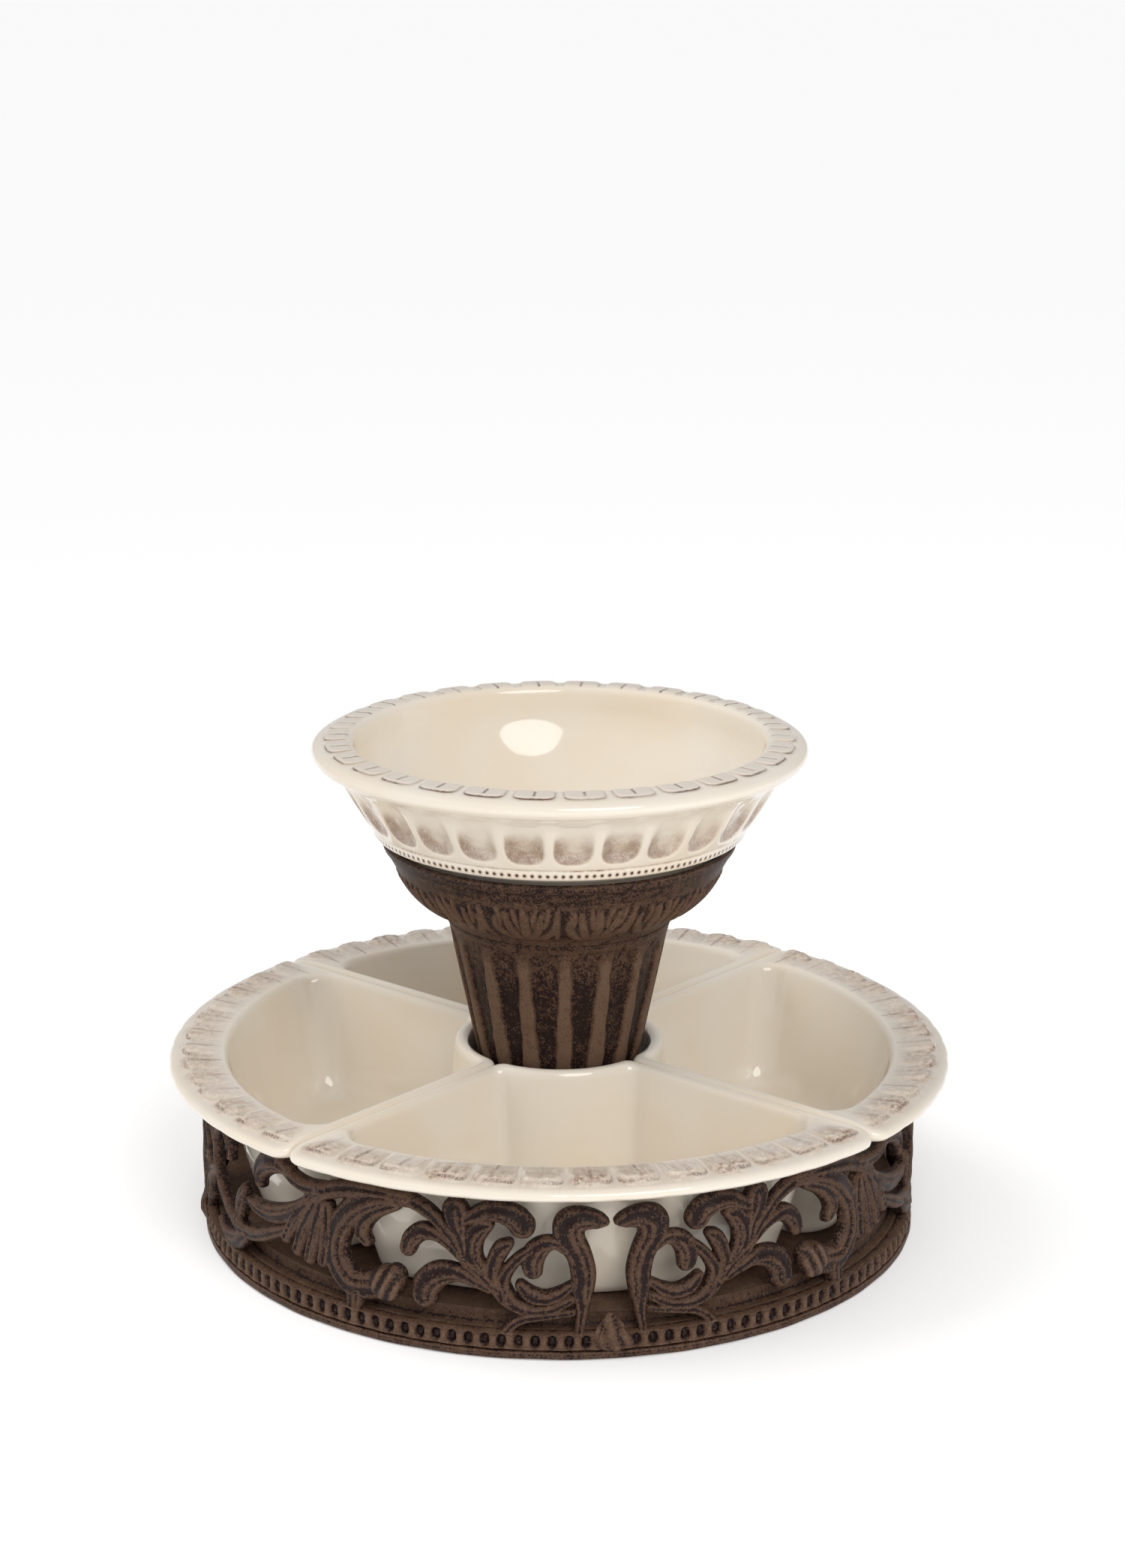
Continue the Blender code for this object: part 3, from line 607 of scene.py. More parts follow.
def dish_relief(r_line, z_line, r, angle, share, index):
    """Petal-shaped pads on the rim and soft flutes under it.

    Returns the height along the outer arc's normal, the two marks of the glaze, and that normal.
    """
    n_r, n_z = line_normals(r_line, z_line)
    top = ((z_line > 103.2) & (r_line > 196)) * smooth_step(0.05, 0.3, n_z)
    pitch = 2 * DISH_HALF / DISH_TILES
    place = (angle + DISH_HALF) / pitch
    across = 2 * (place % 1) - 1
    outward = np.clip((r - DISH_TILE_START) / (DISH_TILE_END - DISH_TILE_START), 0, 1.3)
    inside = smooth_step(44.7, 43.9, np.abs(angle)) * smooth_step(0.3, 0.9, share)
    unit = np.floor(place) + 17 * index
    varied = 0.5 + 0.5 * np.sin(unit * 2.17 + 0.6)
    tip = np.clip(outward - 0.56, 0, None) / 0.44
    shape = ((np.abs(across) / 0.93) ** 3 + tip ** 2.6) ** (1 / 2.8)
    pad = smooth_step(1.07, 0.70, shape) * smooth_step(0.0, 0.3, outward)
    groove = bump(across - 0.1 * np.sin(unit), 0.10) * smooth_step(0.1, 0.4, outward)
    groove = groove * smooth_step(0.95, 0.8, outward)
    rib = bump(np.abs(across) - 0.5, 0.10) * smooth_step(0.15, 0.5, outward)
    rib = rib * smooth_step(0.95, 0.8, outward)
    rise = 0.9 + 2.5 * smooth_step(0.15, 0.85, outward)
    height = (rise * pad - 0.55 * groove * (0.5 + varied) - 0.35 * rib) * inside * top[:, None]
    ends = smooth_step(0.50, 0.95, outward) * smooth_step(1.20, 1.02, outward)
    edge = bump(shape - 0.97, 0.16) * smooth_step(0.1, 0.4, outward)
    lower = 0.55 - 0.45 * np.sign(across) * smooth_step(0.1, 0.6, np.abs(across))
    wash = edge * (0.12 + 0.75 * ends * lower) * (0.55 + 0.45 * varied)
    wash = wash + 0.30 * groove * (1 - 0.5 * varied)
    wash = wash + 0.20 * rib * varied + pad * (0.68 + 0.22 * ends) * (0.55 + 0.45 * varied)
    wash = wash * inside * top[:, None]
    lip = smooth_step(96.5, 99, z_line) * smooth_step(105.2, 103.0, z_line) * (r_line > 215)
    below = ((z_line > 60) & (z_line < 99) & (r_line > 180)) * (n_r + np.abs(n_z) > 0.3)
    fade = smooth_step(66, 90, z_line) * smooth_step(96.5, 93.5, z_line) * below
    height = height - (0.35 * lip + 1.7 * fade)[:, None] * np.abs(across) ** 2.2 * share
    rim = (smooth_step(102.8, 105.0, z_line) * smooth_step(196.5, 199.5, r_line))[:, None] * share
    ridge = smooth_step(103, 105.5, z_line)[:, None] * (1 - share)
    return height, np.clip(wash, 0, 1), np.clip(0.6 * rim + 0.10 * ridge, 0, 1), n_r, n_z


def quarter_dish(side, index, surface):
    def spacing(line):
        r, z = line[:, 4], line[:, 0]
        fine = (z > 103) & (r > 196)
        return np.where(fine, 0.85, np.where(z > 90, 1.6, 4.5))

    levels = resample(smooth_line(DISH_LEVELS), spacing, [4, 0])
    rings = [dish_ring(level) for level in levels]
    r, angle, z, share = (np.array([ring[k] for ring in rings]) for k in range(4))
    height, wash, rim, n_r, n_z = dish_relief(levels[:, 4], levels[:, 0], r, angle, share, index)
    points = polar_points(r + n_r[:, None] * height, angle + DISH_AZIMUTH + 90 * index,
                          z + n_z[:, None] * height)
    columns = r.shape[1]
    faces = [face[::-1] for face in capped_faces(len(levels), columns)]
    name = f"dish_{side}"
    add_piece(f"{name}_ceramic", points, faces, surface, name, (name,),
              {"wash": wash, "rim": rim})


# Gallery

PATTERN_R = 209.0
PANEL_LENGTH = PATTERN_R * math.pi / 2
RAIL_LOW, RAIL_TOP = 5.3, 15.4
GALLERY_TOP = 90.0
FRONT_R, BACK_R = 205.6, 203.3
BEAD_Z = 10.3
PANEL_COLUMNS, PANEL_ROWS = 380, 98
BEADS_PER_PANEL = 36

# Each stroke is a chain of (distance along the panel from its front or back seam, height, half
# width), drawn along a smooth line through those points. All but bird_wing are as in the CAD.
STROKES = {
    "bird_body": [(17.8, 13, 2.4), (15.8, 27, 3.4), (15.4, 40, 6.2), (15.2, 50, 7.0), (17.6, 60, 7.0),
                  (22.3, 69, 8.2), (22.6, 77, 8.8), (16, 80, 6.8), (8, 79.2, 4.8), (3.4, 78.2, 2.4)],
    "bird_wing": [(25, 62.5, 2.6), (30, 66.3, 3.6), (36, 65.6, 5.0), (41, 61, 6.4), (42.5, 55.5, 6.2),
                  (42.2, 51, 5.4)],
    "wing_edge": [(43, 63, 2.4), (50, 57.5, 3.0), (56, 50, 3.6), (58.5, 43, 4.0), (55, 34, 4.0)],
    "lower_crescent": [(22, 42, 2.4), (28, 37.4, 3.8), (36, 34.8, 4.4), (44, 37, 4.6), (49, 42, 3.0)],
    "belly_stem": [(22, 34, 2.6), (33, 28.5, 3.2), (45, 27.8, 3.8), (55, 32.5, 4.6), (62, 39.5, 4.4),
                   (70, 46.5, 3.6), (79, 53, 3.0)],
    "strut_tongue": [(21, 27, 2.2), (35, 24.8, 2.4), (46, 23, 2.8), (53, 19.5, 3.0), (58, 13, 3.6)],
    "small_leaf": [(55.5, 65.5, 3.0), (59.5, 62, 4.8), (63, 55, 4.6), (64.5, 47, 4.2), (61, 39, 3.6)],
    "tall_leaf": [(66.5, 75.5, 3.4), (71, 73, 5.6), (75, 66, 6.0), (75, 57, 5.6), (70, 48, 4.6),
                  (64, 39.5, 2.8)],
    "top_hook": [(48.2, 76, 7.4), (52, 80.2, 7.2), (60, 83.2, 6.2), (69, 82.6, 5.0), (78, 78, 3.6)],
    "up_palmette": [(79, 55, 2.2), (81, 65, 3.6), (83.5, 74, 5.8), (84.5, 81, 7.6), (84.6, 83, 6.8)],
    "long_stem": [(79, 51.5, 2.2), (84.5, 62, 2.6), (91, 71, 3.4), (100, 79.5, 4.2), (111, 84, 4.4),
                  (123, 83, 5.0)],
    "upper_lobe": [(80, 53.5, 2.0), (87, 60.8, 2.8), (95, 66.5, 3.8), (103, 67.6, 5.2), (109.5, 63, 5.4),
                   (112.5, 56.5, 4.8)],
    "lower_lobe": [(66, 38.5, 2.4), (75, 43, 3.6), (84, 46, 5.2), (94, 44.3, 7.2), (101, 38, 8.2),
                   (102.5, 31.5, 7.8)],
    "great_scroll": [(118, 84.5, 4.6), (131, 81, 6.2), (144, 74, 7.6), (154, 63, 8.0), (159, 50, 8.4),
                     (157, 38, 8.8), (148.5, 29.5, 8.8), (137, 30, 8.2), (127, 34.5, 7.2),
                     (119.8, 39.4, 6.4)],
    "scroll_foot": [(146, 24, 6.0), (147, 13, 5.0)],
    "hanging_hook": [(119, 80, 3.2), (130, 75, 4.2), (138, 68, 4.8), (141, 60.5, 4.8),
                     (137.8, 55.6, 3.6)],
    "top_stem": [(112, 85.6, 3.6), (135, 85.4, 4.2), (152, 82.5, 5.0), (166, 77.5, 5.0), (178, 70, 4.6)],
    "palmette_1": [(164, 70, 3.4), (165, 53, 4.8), (168, 37, 4.4)],
    "palmette_2": [(168, 70, 3.4), (173, 53, 4.8), (178, 36, 4.6)],
    "palmette_3": [(172, 70, 3.4), (181, 54, 4.8), (188, 38, 4.4)],
    "palmette_4": [(174, 72, 3.4), (187, 58, 4.8), (197, 42.5, 4.2)],
    "side_leaf": [(178, 68, 4.4), (193, 58, 5.6), (209, 52, 6.0), (224, 50.5, 4.6), (235, 52, 2.2)],
    "top_leaf": [(166, 79, 4.0), (180, 77, 4.6), (192, 79.4, 4.4), (202, 84.6, 3.8)],
    "far_hook": [(194, 82, 4.0), (206, 83, 6.2), (217, 79, 7.0), (222.5, 72.5, 5.6), (222, 67, 3.8)],
    "low_stem": [(194, 48, 3.0), (208, 41.5, 3.8), (224, 34.5, 4.4), (242, 31, 4.8), (258, 34, 4.6),
                 (271, 41, 4.4), (281, 50, 4.2), (287, 61, 4.2), (287, 72, 4.0), (280, 80, 3.8),
                 (269, 82.5, 3.4), (261, 77, 3.2), (260, 69, 3.0)],
    "low_leaf": [(240, 28, 4.0), (252, 21, 6.0), (266, 19, 5.0), (280, 23.5, 2.4)],
    "bud_leaf": [(250, 35, 3.6), (247, 44, 6.0), (243, 52, 4.8), (240, 58, 2.4)],
    "far_lobe": [(284, 52, 3.2), (296, 47, 4.4), (306, 39, 5.6), (309, 29, 5.4)],
    "far_arch": [(286, 66, 3.2), (296, 76, 4.2), (308, 81.5, 4.6), (320, 80, 4.6), (325, 76, 4.0)],
    "end_leaf": [(323, 13, 5.0), (320.5, 30, 6.4), (320, 46, 6.6), (321.5, 62, 5.6), (323, 78, 4.6)],
    "end_tie": [(299, 46, 3.2), (309, 50, 3.4), (320, 48, 4.0)],
}
# The round boss at the heart of the great scroll: distance along the panel, height and radius.
VOLUTE_S, VOLUTE_Z, VOLUTE_R = 124.5, 34.6, 9.8


def outer_side(line):
    """Which side of a stroke is the outside of its bend: 1 or -1 in the sign of stroke_places."""
    ds, dz = np.diff(line[:, :2], axis=0).T
    turns = ds[:-1] * dz[1:] - dz[:-1] * ds[1:]
    return -1.0 if turns.sum() > 0 else 1.0


def stroke_relief(q, width):
    """Cast section of one stroke, q being -1 on its inner edge and 1 on the outer edge of its bend.

    A dark channel runs along the outer half, and broad strokes have a second, thinner one inside.
    """
    dome = np.clip(1 - np.abs(q) ** 2.2, 0, 1) ** 0.7
    broad = smooth_step(3.4, 6.2, width)
    main = bump(q - 0.28 * broad - 0.05, 0.26 + 0.07 * broad)
    second = broad * bump(q + 0.42, 0.13)
    height = (2.9 + 0.34 * width) * dome - (0.75 + 0.22 * width) * (main + 0.55 * second)
    rubbed = 0.62 - 0.58 * main - 0.42 * second - 0.30 * smooth_step(0.60, 1.0, np.abs(q))
    return height, rubbed


def panel_relief(s, z):
    """Field (negative in metal), height of the front over the panel's base, and the relief mark."""
    field = z - RAIL_TOP
    height = np.zeros(s.shape)
    relief = np.full(s.shape, 0.35)
    for points in STROKES.values():
        line = smooth_line(points, 8)
        gap, middle, width = stroke_places(s, z, line)
        field = np.minimum(field, gap)
        tall, rubbed = stroke_relief(np.clip(middle / width, -1, 1) * outer_side(line), width)
        over = (gap < 0) & (tall > height)
        relief = np.where(over, rubbed, relief)
        height = np.where(over, tall, height)
    ds, dz = s - VOLUTE_S, z - VOLUTE_Z
    away = np.hypot(ds, dz) / VOLUTE_R
    ball = np.sqrt(np.clip(1 - away ** 2, 0, 1))
    rib = np.cos(2 * math.pi * (ds + 0.45 * dz + 1.2) / 6.6)
    inside = away < 1
    field = np.minimum(field, (away - 1) * VOLUTE_R)
    height = np.where(inside, np.maximum(height * 0.6, 3.6 + 4.2 * ball + 0.8 * rib * ball), height)
    relief = np.where(inside, 0.46 + 0.40 * rib * smooth_step(0.0, 0.5, ball), relief)

    rail = z < RAIL_TOP
    pitch = PANEL_LENGTH / BEADS_PER_PANEL
    across = ((s / pitch) % 1 - 0.5) * pitch
    oval = np.hypot(across / 2.7, (z - BEAD_Z) / 3.7)
    pit = smooth_step(1.12, 0.78, oval)
    bead = np.sqrt(np.clip(1 - (across / 1.9) ** 2 - ((z - BEAD_Z) / 2.6) ** 2, 0, 1))
    hump = bump(np.abs(across) - pitch / 2, 1.9) * bump(z - 10.4, 3.6)
    ledges = bump(z - 14.7, 0.8) + bump(z - 6.0, 0.7)
    seam = bump(z - 13.6, 0.5)
    rail_height = 2.9 - 2.3 * pit + 1.7 * bead + 0.9 * hump + 0.5 * ledges - 0.6 * seam
    rail_relief = 0.62 - 0.58 * pit + 0.06 * bead + 0.20 * hump + 0.12 * ledges - 0.35 * seam
    height = np.where(rail, np.maximum(rail_height, np.where(z > 13.5, height * 0.7, 0)), height)
    relief = np.where(rail, rail_relief, relief)
    edge = np.maximum(0.15 - s, s - PANEL_LENGTH + 0.15)
    field = np.maximum(np.maximum(field, edge), np.maximum(z - GALLERY_TOP, RAIL_LOW - z))
    return field, height, relief


def flat_panel():
    """The panel as points (s, z, height, relief) and faces, clipped out of a fine grid."""
    columns = np.linspace(-0.01, PANEL_LENGTH + 0.01, PANEL_COLUMNS + 1)
    rows = np.linspace(RAIL_LOW - 1.0, GALLERY_TOP + 1.0, PANEL_ROWS + 1)
    s, z = np.meshgrid(columns, rows, indexing="ij")
    field, height, relief = panel_relief(s, z)
    points, made, faces = [], {}, []

    def corner(i, j):
        if (i, j) not in made:
            made[i, j] = len(points)
            points.append((s[i, j], z[i, j], height[i, j], relief[i, j]))
        return made[i, j]

    def crossing(a, b):
        key = (min(a, b), max(a, b))
        if key not in made:
            low, high = key
            share = min(max(field[low] / (field[low] - field[high]), 0.04), 0.96)
            inner = low if field[low] < 0 else high
            made[key] = len(points)
            points.append((s[low] + share * (s[high] - s[low]), z[low] + share * (z[high] - z[low]),
                           0.35 * height[inner], relief[inner] - 0.1))
        return made[key]

    for i in range(PANEL_COLUMNS):
        for j in range(PANEL_ROWS):
            cell = [(i, j), (i + 1, j), (i + 1, j + 1), (i, j + 1)]
            if all(field[c] >= 0 for c in cell):
                continue
            face = []
            for a, b in zip(cell, cell[1:] + cell[:1]):
                if field[a] < 0:
                    face.append(corner(*a))
                if (field[a] < 0) != (field[b] < 0):
                    face.append(crossing(a, b))
            if len(face) > 2:
                faces.append(face)
    return keep_largest_island(np.array(points), faces)


def keep_largest_island(points, faces):
    """Drop loose islands, so that the panel is one casting."""
    parent = list(range(len(points)))

    def root(i):
        while parent[i] != i:
            parent[i] = parent[parent[i]]
            i = parent[i]
        return i

    for face in faces:
        for other in face[1:]:
            parent[root(other)] = root(face[0])
    roots = [root(face[0]) for face in faces]
    main = max(set(roots), key=roots.count)
    faces = [face for face, owner in zip(faces, roots) if owner == main]
    used = sorted({i for face in faces for i in face})
    renumber = {old: new for new, old in enumerate(used)}
    return points[used], [[renumber[i] for i in face] for face in faces]


def boundary_edges(faces):
    """Directed edges that only one face has."""
    seen = {}
    for face in faces:
        for a, b in zip(face, face[1:] + face[:1]):
            seen[a, b] = True
    return [(a, b) for a, b in seen if (b, a) not in seen]


def gallery(surface):
    flat, faces = flat_panel()
    count = len(flat)
    s, z, height, relief = flat.T
    border = boundary_edges(faces)
    wave = 0.25 * np.sin(s * 0.31) * np.sin(z * 0.27)
    front_r = FRONT_R + height + wave
    back_r = np.full(count, BACK_R)
    for name, start, direction in (("front_right", 0, 1), ("front_left", 0, -1),
                                   ("back_left", 180, 1), ("back_right", 180, -1)):
        azimuth = SEAM_AZIMUTH + start + direction * np.degrees(s / PATTERN_R)
        points = np.concatenate([polar_points(front_r, azimuth, z), polar_points(back_r, azimuth, z)])
        shell = [list(face) for face in faces] + [[count + i for i in face[::-1]] for face in faces]
        shell += [[b, a, count + a, count + b] for a, b in border]
        if direction < 0:
            shell = [face[::-1] for face in shell]
        marks = {"relief": np.concatenate([relief, np.full(count, 0.3)])}
        node = f"gallery_{name}"
        add_piece(f"{node}_casting", points, shell, surface, "stand", (node,), marks, 55.0)


LUMP_R, LUMP_Z = 208.4, 15.9


def weld_lumps(surface):
    """Rough pointed lumps of metal over each joint between two panels."""
    columns, rows = 40, 26
    u = np.linspace(0, 2 * np.pi, columns, endpoint=False)
    v = np.linspace(0.04, np.pi - 0.04, rows)
    vv, uu = np.meshgrid(v, u, indexing="ij")
    for k in range(4):
        rough = 1 + 0.13 * np.sin(3 * uu + k) * np.sin(4 * vv) + 0.10 * np.sin(7 * uu + 2 * k + 3 * vv)
        upward = 11.5 * np.cos(vv) + 1.1 * np.sin(3 * uu + 2 * vv) * np.sin(vv)
        taper = 1.12 - 0.055 * (upward + 4)
        across = 9.2 * np.sin(vv) ** 0.8 * np.cos(uu) * rough * np.clip(taper, 0.25, 1.3) - 0.10 * upward
        ridge = 1 + 0.28 * np.cos(across * 0.85 + 0.25 * upward)
        outward = 3.3 * np.sin(vv) * np.sin(uu) * rough * ridge * np.clip(taper, 0.5, 1.2)
        azimuth = SEAM_AZIMUTH + 90 * k + np.degrees(across / PATTERN_R)
        points = polar_points(LUMP_R + outward, azimuth, LUMP_Z + upward)
        relief = 0.66 + 0.45 * (ridge - 1) / 0.28 * 0.5 - 0.15 * np.abs(np.sin(2.1 * vv + 3 * uu))
        add_piece(f"weld_lump_{k + 1}", points, capped_faces(rows, columns), surface, "stand",
                  (), {"relief": relief})


# Base tray

TRAY_OUTLINE = [(204.6, 0.8), (208.8, 0.8), (209.5, 1.4), (209.6, 2.6), (209.5, 4.4), (209.0, 5.0),
                (204.5, 5.0), (202.9, 5.4), (202.7, 6.4), (202.7, 13.6), (202.4, 14.8), (201.6, 15.2),
                (198.6, 15.2), (197.6, 15.8), (197.2, 17.0), (196.9, 21.6), (196.4, 23.0), (195.2, 23.5),
                (150, 23.5), (100, 23.5), (60, 23.5), (20, 23.5), (6.2, 23.5), (5.7, 23.0), (5.7, 20.6),
                (6.2, 20.0), (60, 20.0), (120, 20.0), (190, 20.0), (193.0, 19.4), (193.5, 17.8),
                (193.5, 13.0), (194.0, 11.9), (195.0, 11.6), (198.0, 11.6), (199.0, 11.0), (199.2, 9.6),
                (199.2, 4.2), (200.2, 3.0), (203.8, 1.1)]
FOOT_R, FOOT_AZIMUTH = 181.0, SEAM_AZIMUTH + 45
BOSS_OUTLINE = [(8.2, 3.5), (9.2, 3.5), (9.6, 4.1), (9.6, 19.9)]


def tray_relief(r, z, azimuth):
    a = np.radians(azimuth)
    ripple = 0.10 * np.sin(a * 23) * np.sin(z * 0.9 + 1) + 0.08 * np.sin(a * 41 + z)
    rings = 0.05 * np.sin(r * 2.1) * (z > 23)
    edge = bump(z - 4.3, 0.6) + bump(z - 14.6, 0.9) + bump(z - 22.8, 1.0)
    relief = 0.58 + 0.22 * edge + 0.05 * np.sin(r * 1.3)
    band = 0.46 + 0.10 * np.sin(z * 3.4 + 0.6 * np.sin(a * 31)) + 0.10 * bump(z - 4.3, 0.6)
    relief = np.where(z < 5.2, band, relief)
    corner = bump(z - 5.4, 0.7) * (r < 204.5) + bump(z - 16.0, 0.7) * (r < 199)
    return np.where((r > 190) & (z < 22), ripple, rings), {"relief": relief - 0.4 * corner}


def base_tray(surface):
    def spacing(line):
        return np.where(line[:, 0] > 192, 0.9, 12.0)

    outline = resample(smooth_line(TRAY_OUTLINE, 4), spacing)
    turned_piece("base_tray_casting", outline, 540, tray_relief, surface, "stand",
                 ("base_plate",), close=True)
    for k in range(4):
        small_solid(f"foot_boss_{k + 1}", BOSS_OUTLINE, 36, (FOOT_R, FOOT_AZIMUTH + 90 * k), surface,
                    relief=0.45)


# Pedestal

FLUTES = 16
RIDGE_AZIMUTH = 3.0
SHAFT_OUTLINE = [(40, 23.9), (45, 24.0), (46, 25.2), (46, 27.2), (44.5, 29), (39.5, 33), (36.6, 38),
                 (35.6, 44), (41.3, 70), (47.6, 100), (53.9, 130), (60.2, 160), (64.0, 178.5), (65.0, 181.5),
                 (65.6, 183.2), (65.7, 184.2), (64.6, 184.6), (63.2, 183.9), (30, 183.9), (6.2, 183.7),
                 (5.7, 183.2), (5.7, 180.2), (6.2, 179.7), (30, 179.7), (55.5, 179.7), (56.6, 178.2),
                 (54, 164), (42, 108), (29.5, 48), (30.5, 38), (34, 30), (38.5, 24.2)]


def shaft_relief(r, z, azimuth):
    """Ridges that are narrow at the top and broaden downwards, between hollow, mottled flutes."""
    outside = (z > 30) & (z < 184) & (r > 24 + 0.21 * z)
    phase = np.abs(((azimuth - RIDGE_AZIMUTH) * FLUTES / 360 + 0.5) % 1 - 0.5)
    unit = np.floor((azimuth - RIDGE_AZIMUTH) * FLUTES / 360 + 0.5)
    wander = 0.018 * np.sin(z * 0.19 + unit * 1.9) + 0.012 * np.sin(z * 0.47 + azimuth * 0.9)
    half = 0.095 + 0.135 * smooth_step(182, 90, z) + 0.02 * np.sin(unit * 2.3)
    cut = smooth_step(half - 0.01, half + 0.085, phase + wander)
    arch_top = 178.5 + 2.5 * np.sin(unit * 1.7) - 7.0 * np.clip((0.5 - phase) / 0.4, 0, 1) ** 2
    depth = cut * smooth_step(arch_top + 1.5, arch_top - 4.0, z) * smooth_step(38, 46, z)
    crown = 0.35 * np.cos(np.clip(phase / half, 0, 1) * math.pi / 2) * smooth_step(178, 165, z)
    height = np.where(outside, crown - 2.0 * depth, 0)
    ridge = 0.86 - 0.32 * smooth_step(166, 178, z)
    hollow = 0.22 + 0.20 * smooth_step(145, 176, z) + 0.10 * smooth_step(0.10, 0.0, phase - half)
    relief = ridge * (1 - cut) + hollow * cut
    relief = np.where(z > 178, 0.40 + 0.12 * bump(z - 180.5, 1.2), relief)
    return height, {"relief": np.where(outside, relief, 0.35)}


def pedestal_shaft(surface):
    def spacing(line):
        r, z = line[:, 0], line[:, 1]
        outer = r > 26 + 0.2 * z
        return np.where(outer, np.where(z > 170, 0.9, 2.2), 8.0)

    outline = resample(smooth_line(SHAFT_OUTLINE, 10), spacing)
    turned_piece("pedestal_shaft_casting", outline, 576, shaft_relief, surface, "stand",
                 ("pedestal_shaft",), close=True)


CUP_OUTLINE = [(60, 183.95), (65.2, 183.95), (66.0, 184.6), (66.7, 186.2), (68.8, 188.6), (71.6, 190.4),
               (73.6, 192.0), (75.6, 193.6), (79.5, 195.8), (83.2, 198.8), (87.4, 203.2), (91.0, 208.4),
               (94.2, 214.2), (97.0, 219.4), (99.4, 223.6), (100.4, 225.2), (101.6, 226.6), (102.3, 228.4),
               (102.5, 230.2), (101.9, 231.1), (100.5, 231.2), (99.1, 230.9), (98.5, 229.6), (96.3, 224),
               (92.4, 216.5), (87.6, 209.5), (81.8, 203.2), (76.5, 198.9), (72.5, 196.7), (70.5, 196.3),
               (61, 196.3), (59, 195.7), (57.4, 192), (56.2, 190), (54, 189.5), (30, 189.5), (6.2, 189.5),
               (5.7, 189.0), (5.7, 184.5), (6.2, 183.95), (30, 183.95)]
CUP_LEAVES = 13
CUP_R = 88.0
# Height and radius along the middle of the cup's wall.
CUP_MIDDLE = [(184, 60), (192, 70), (199, 80), (203, 84.4), (209.5, 89.5), (216.5, 93.9), (224, 98),
              (231.4, 100.8)]
# One repeat of the cup's band of pointed leaves: (distance across, height up the wall, half width).
LEAF_STROKES = [
    [(0, -2, 2.0), (0.8, 12, 3.0), (-0.8, 28, 1.3)],
    [(-2, 0, 1.6), (-7.0, 10, 2.6), (-9.0, 25, 1.3)],
    [(2, 0, 1.6), (8.0, 9, 2.6), (10.4, 24, 1.3)],
    [(-3, -1, 1.6), (-12.5, 5, 2.6), (-17.0, 14, 2.0), (-16.4, 22, 1.0)],
    [(3, -1, 1.6), (12.5, 4, 2.6), (17.6, 12, 2.0), (18.0, 20, 1.0)],
    [(20.5, 29, 1.2), (19.8, 16, 2.2), (20.0, 2, 1.4)],
    [(-6, 27, 1.0), (-4.4, 19, 1.5), (-3.0, 12, 0.9)],
    [(6, 28, 1.0), (4.6, 20, 1.5), (5.2, 13, 0.9)],
    [(-14, 28, 1.0), (-12.4, 21, 1.5), (-13, 14, 0.9)],
    [(14.6, 27, 1.0), (14.0, 20, 1.5), (12.4, 13, 0.9)],
]


def cup_relief(r, z, azimuth):
    """A band of pointed leaves under a plain band, on the outside of the wall only."""
    middle_r = np.interp(z, *np.array(CUP_MIDDLE).T)
    outside = (z > 184.2) & (r > middle_r) & (z < 231.4)
    pitch = 2 * math.pi * CUP_R / CUP_LEAVES
    turn = azimuth * CUP_LEAVES / 360
    unit = np.floor(turn)
    across = (turn - unit - 0.5) * pitch
    up = (z - 191.0) * 1.16
    best = np.zeros(r.shape)
    for shift in (-1, 0, 1):
        leaf = unit + shift
        lean = 2.2 * np.sin(leaf * 2.7 + 0.4)
        local = across - shift * pitch - lean * up / 30
        stretch = 1 + 0.08 * np.sin(leaf * 1.3)
        for k, points in enumerate(LEAF_STROKES):
            wobble = 1.6 * np.sin(leaf * 3.1 + 1.7 * k)
            gap = stroke_places(local + wobble * up / 30, up * stretch, smooth_line(points, 4))[0]
            best = np.maximum(best, smooth_step(0.8, -0.7, gap))
    zone = smooth_step(189.5, 192.5, z) * smooth_step(217.0, 212.5, z) * outside
    line = bump(z - 224.8, 0.6) * outside
    band = smooth_step(216.0, 220.0, z) * outside
    lip = smooth_step(229.6, 230.6, z) * outside
    height = np.where(outside, 1.2 * best * zone - 0.5 * line, 0)
    relief = (0.26 + 0.46 * best) * zone + (1 - zone) * 0.48
    relief = relief - 0.14 * band - 0.12 * line + 0.45 * lip
    return height, {"relief": np.where(outside, relief, 0.25)}


def pedestal_cup(surface):
    def spacing(line):
        r, z = line[:, 0], line[:, 1]
        outer = (r > 66 + 0.82 * (z - 186)) & (r > 64)
        return np.where(outer, 0.8, 5.0)

    outline = resample(smooth_line(CUP_OUTLINE, 8), spacing)
    turned_piece("pedestal_cup_casting", outline, 720, cup_relief, surface, "stand",
                 ("pedestal_cup",), close=True)


# Fasteners, feet and bumpers

ROD_R, ROD_LOW, ROD_HIGH = 5.0, 5.0, 204.0
THREAD_PITCH, THREAD_DEPTH = 1.5, 0.55
NUT_HALF_FLATS, NUT_HEIGHT = 8.5, 8.0
NUT_FACE_R = 8.3
HOLE_R = 5.35
WASHER_HEIGHT = 2.0
NUT_LOWS = {"top": 192.1, "bottom": 9.4}
WASHER_LOWS = {"top": 189.8, "bottom": 17.7}


def tie_rod(surface):
    columns = 24
    z = np.arange(ROD_LOW, ROD_HIGH + 0.01, THREAD_PITCH / 4)
    turn = np.arange(columns) / columns
    zz, tt = np.meshgrid(z, turn, indexing="ij")
    tooth = np.abs(2 * ((zz / THREAD_PITCH - tt) % 1) - 1)
    ends = np.minimum(np.minimum(zz - ROD_LOW, ROD_HIGH - zz), 1.0)
    r = ROD_R - THREAD_DEPTH * tooth - 0.6 * (1 - ends)
    add_piece("threaded_tie_rod", polar_points(r, 360 * tt, zz), capped_faces(len(z), columns), surface,
              "stand", ("tie_rod",), sharp=25.0)


